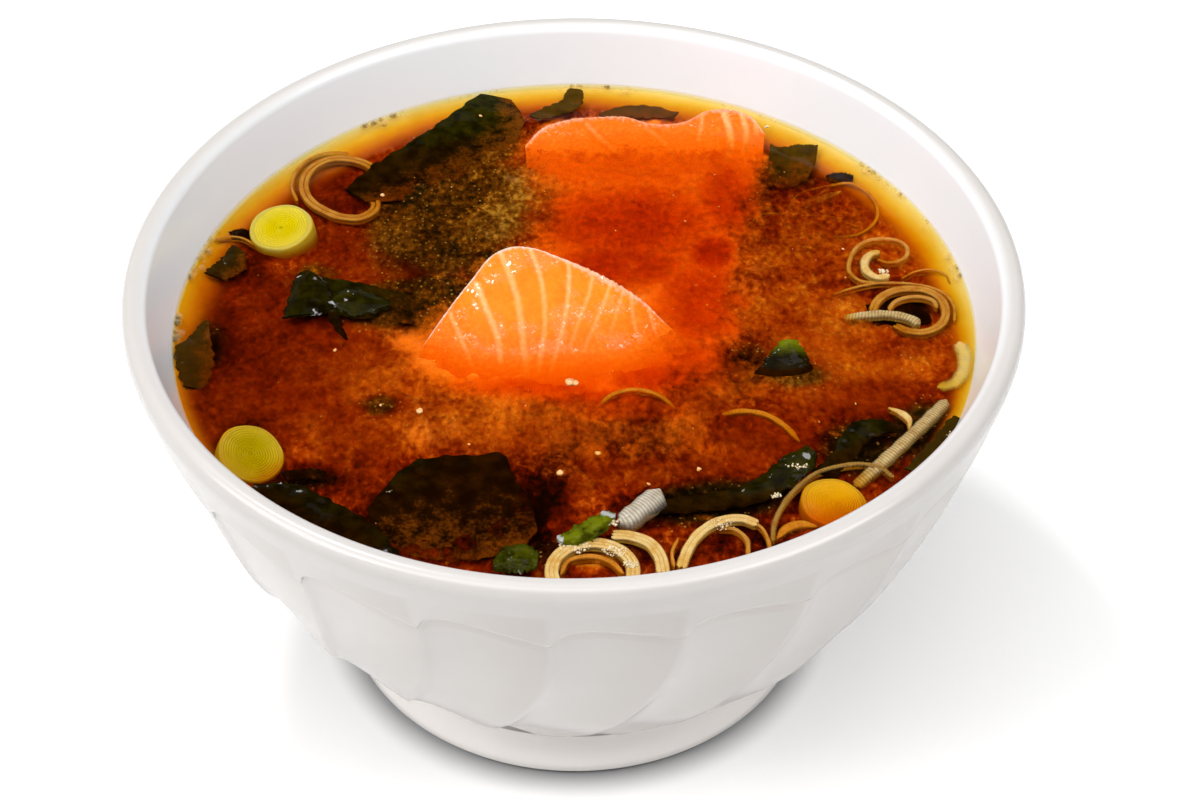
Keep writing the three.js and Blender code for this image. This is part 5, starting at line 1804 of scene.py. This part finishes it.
studio = {
    "floor": [[1600, 0], [2000, 60], [2200, 300], [2300, 760]],  # radius and height of its curve
    "thickness": 20,
    "rows": 24,
    "columns": 128,
    "world": 0.03,
    "lights": [  # name, place and aim in metres, width, height, power in watts
        ("top_light", (-0.1, 0.0, 1.15), (0, 0, 0.06), 1.3, 1.2, 7.0),
        ("key_light", (-0.1, -0.62, 1.15), (0, 0, 0.06), 1.8, 0.5, 8.2),
        ("right_light", (0.7, -0.3, 1.0), (0, 0, 0.06), 0.6, 0.6, 6.8),
        ("left_light", (-0.95, -0.3, 0.9), (0, 0, 0.06), 0.8, 0.6, 8.0),
        ("low_light", (-1.0, -0.9, 0.3), (0, 0, 0.04), 0.8, 0.5, 1.2),
        ("glint_light", (-0.32, 0.36, 1.0), (0, 0, 0.06), 0.1, 0.1, 3.0),
    ],
    "lens": 72.0,  # focal length and width of the sensor
    "sensor": 36,
    "camera": (0.00434, -0.3111, 0.3337),  # metres
    "pitch": 47.66,
}


# A floor whose edge curves up into a wall all round, with an underside a thickness below.
def makeFloor():
    curve = pathThrough(studio["floor"], studio["rows"])
    under = curve[::-1] + [30, -studio["thickness"]]
    profile = np.vstack([[[0, -studio["thickness"]]], under[::-1], curve[::-1], [[0, 0]]])
    points, faces = turned(profile, studio["columns"])
    addPiece("studio_floor", points, faces, finishes["floor"], None)


# A faint white world, and one rectangular light at each place, turned to its aim.
def makeLights():
    world = bpy.data.worlds.new("studio")
    bpy.context.scene.world = world
    world.use_nodes = True
    background = world.node_tree.nodes["Background"]
    background.inputs["Color"].default_value = (1, 1, 1, 1)
    background.inputs["Strength"].default_value = studio["world"]
    for name, place, aim, width, height, power in studio["lights"]:
        lamp = bpy.data.lights.new(name, "AREA")
        lamp.shape, lamp.size, lamp.size_y, lamp.energy = "RECTANGLE", width, height, power
        holder = bpy.data.objects.new(name, lamp)
        bpy.context.scene.collection.objects.link(holder)
        holder.location = place
        way = np.subtract(aim, place)
        flat = math.hypot(way[0], way[1])
        holder.rotation_euler = (math.atan2(flat, -way[2]), 0, math.atan2(-way[0], way[1]))


# A camera in front of the bowl, turned up from straight down by its pitch.
def makeCamera():
    lens = bpy.data.cameras.new("camera")
    lens.lens, lens.sensor_width = studio["lens"], studio["sensor"]
    camera = bpy.data.objects.new("camera", lens)
    bpy.context.scene.collection.objects.link(camera)
    camera.location = studio["camera"]
    camera.rotation_euler = (math.radians(studio["pitch"]), 0, 0)
    bpy.context.scene.camera = camera
    bpy.context.scene.view_settings.view_transform = "Standard"


makeFloor()
makeLights()
makeCamera()
print("studio made")
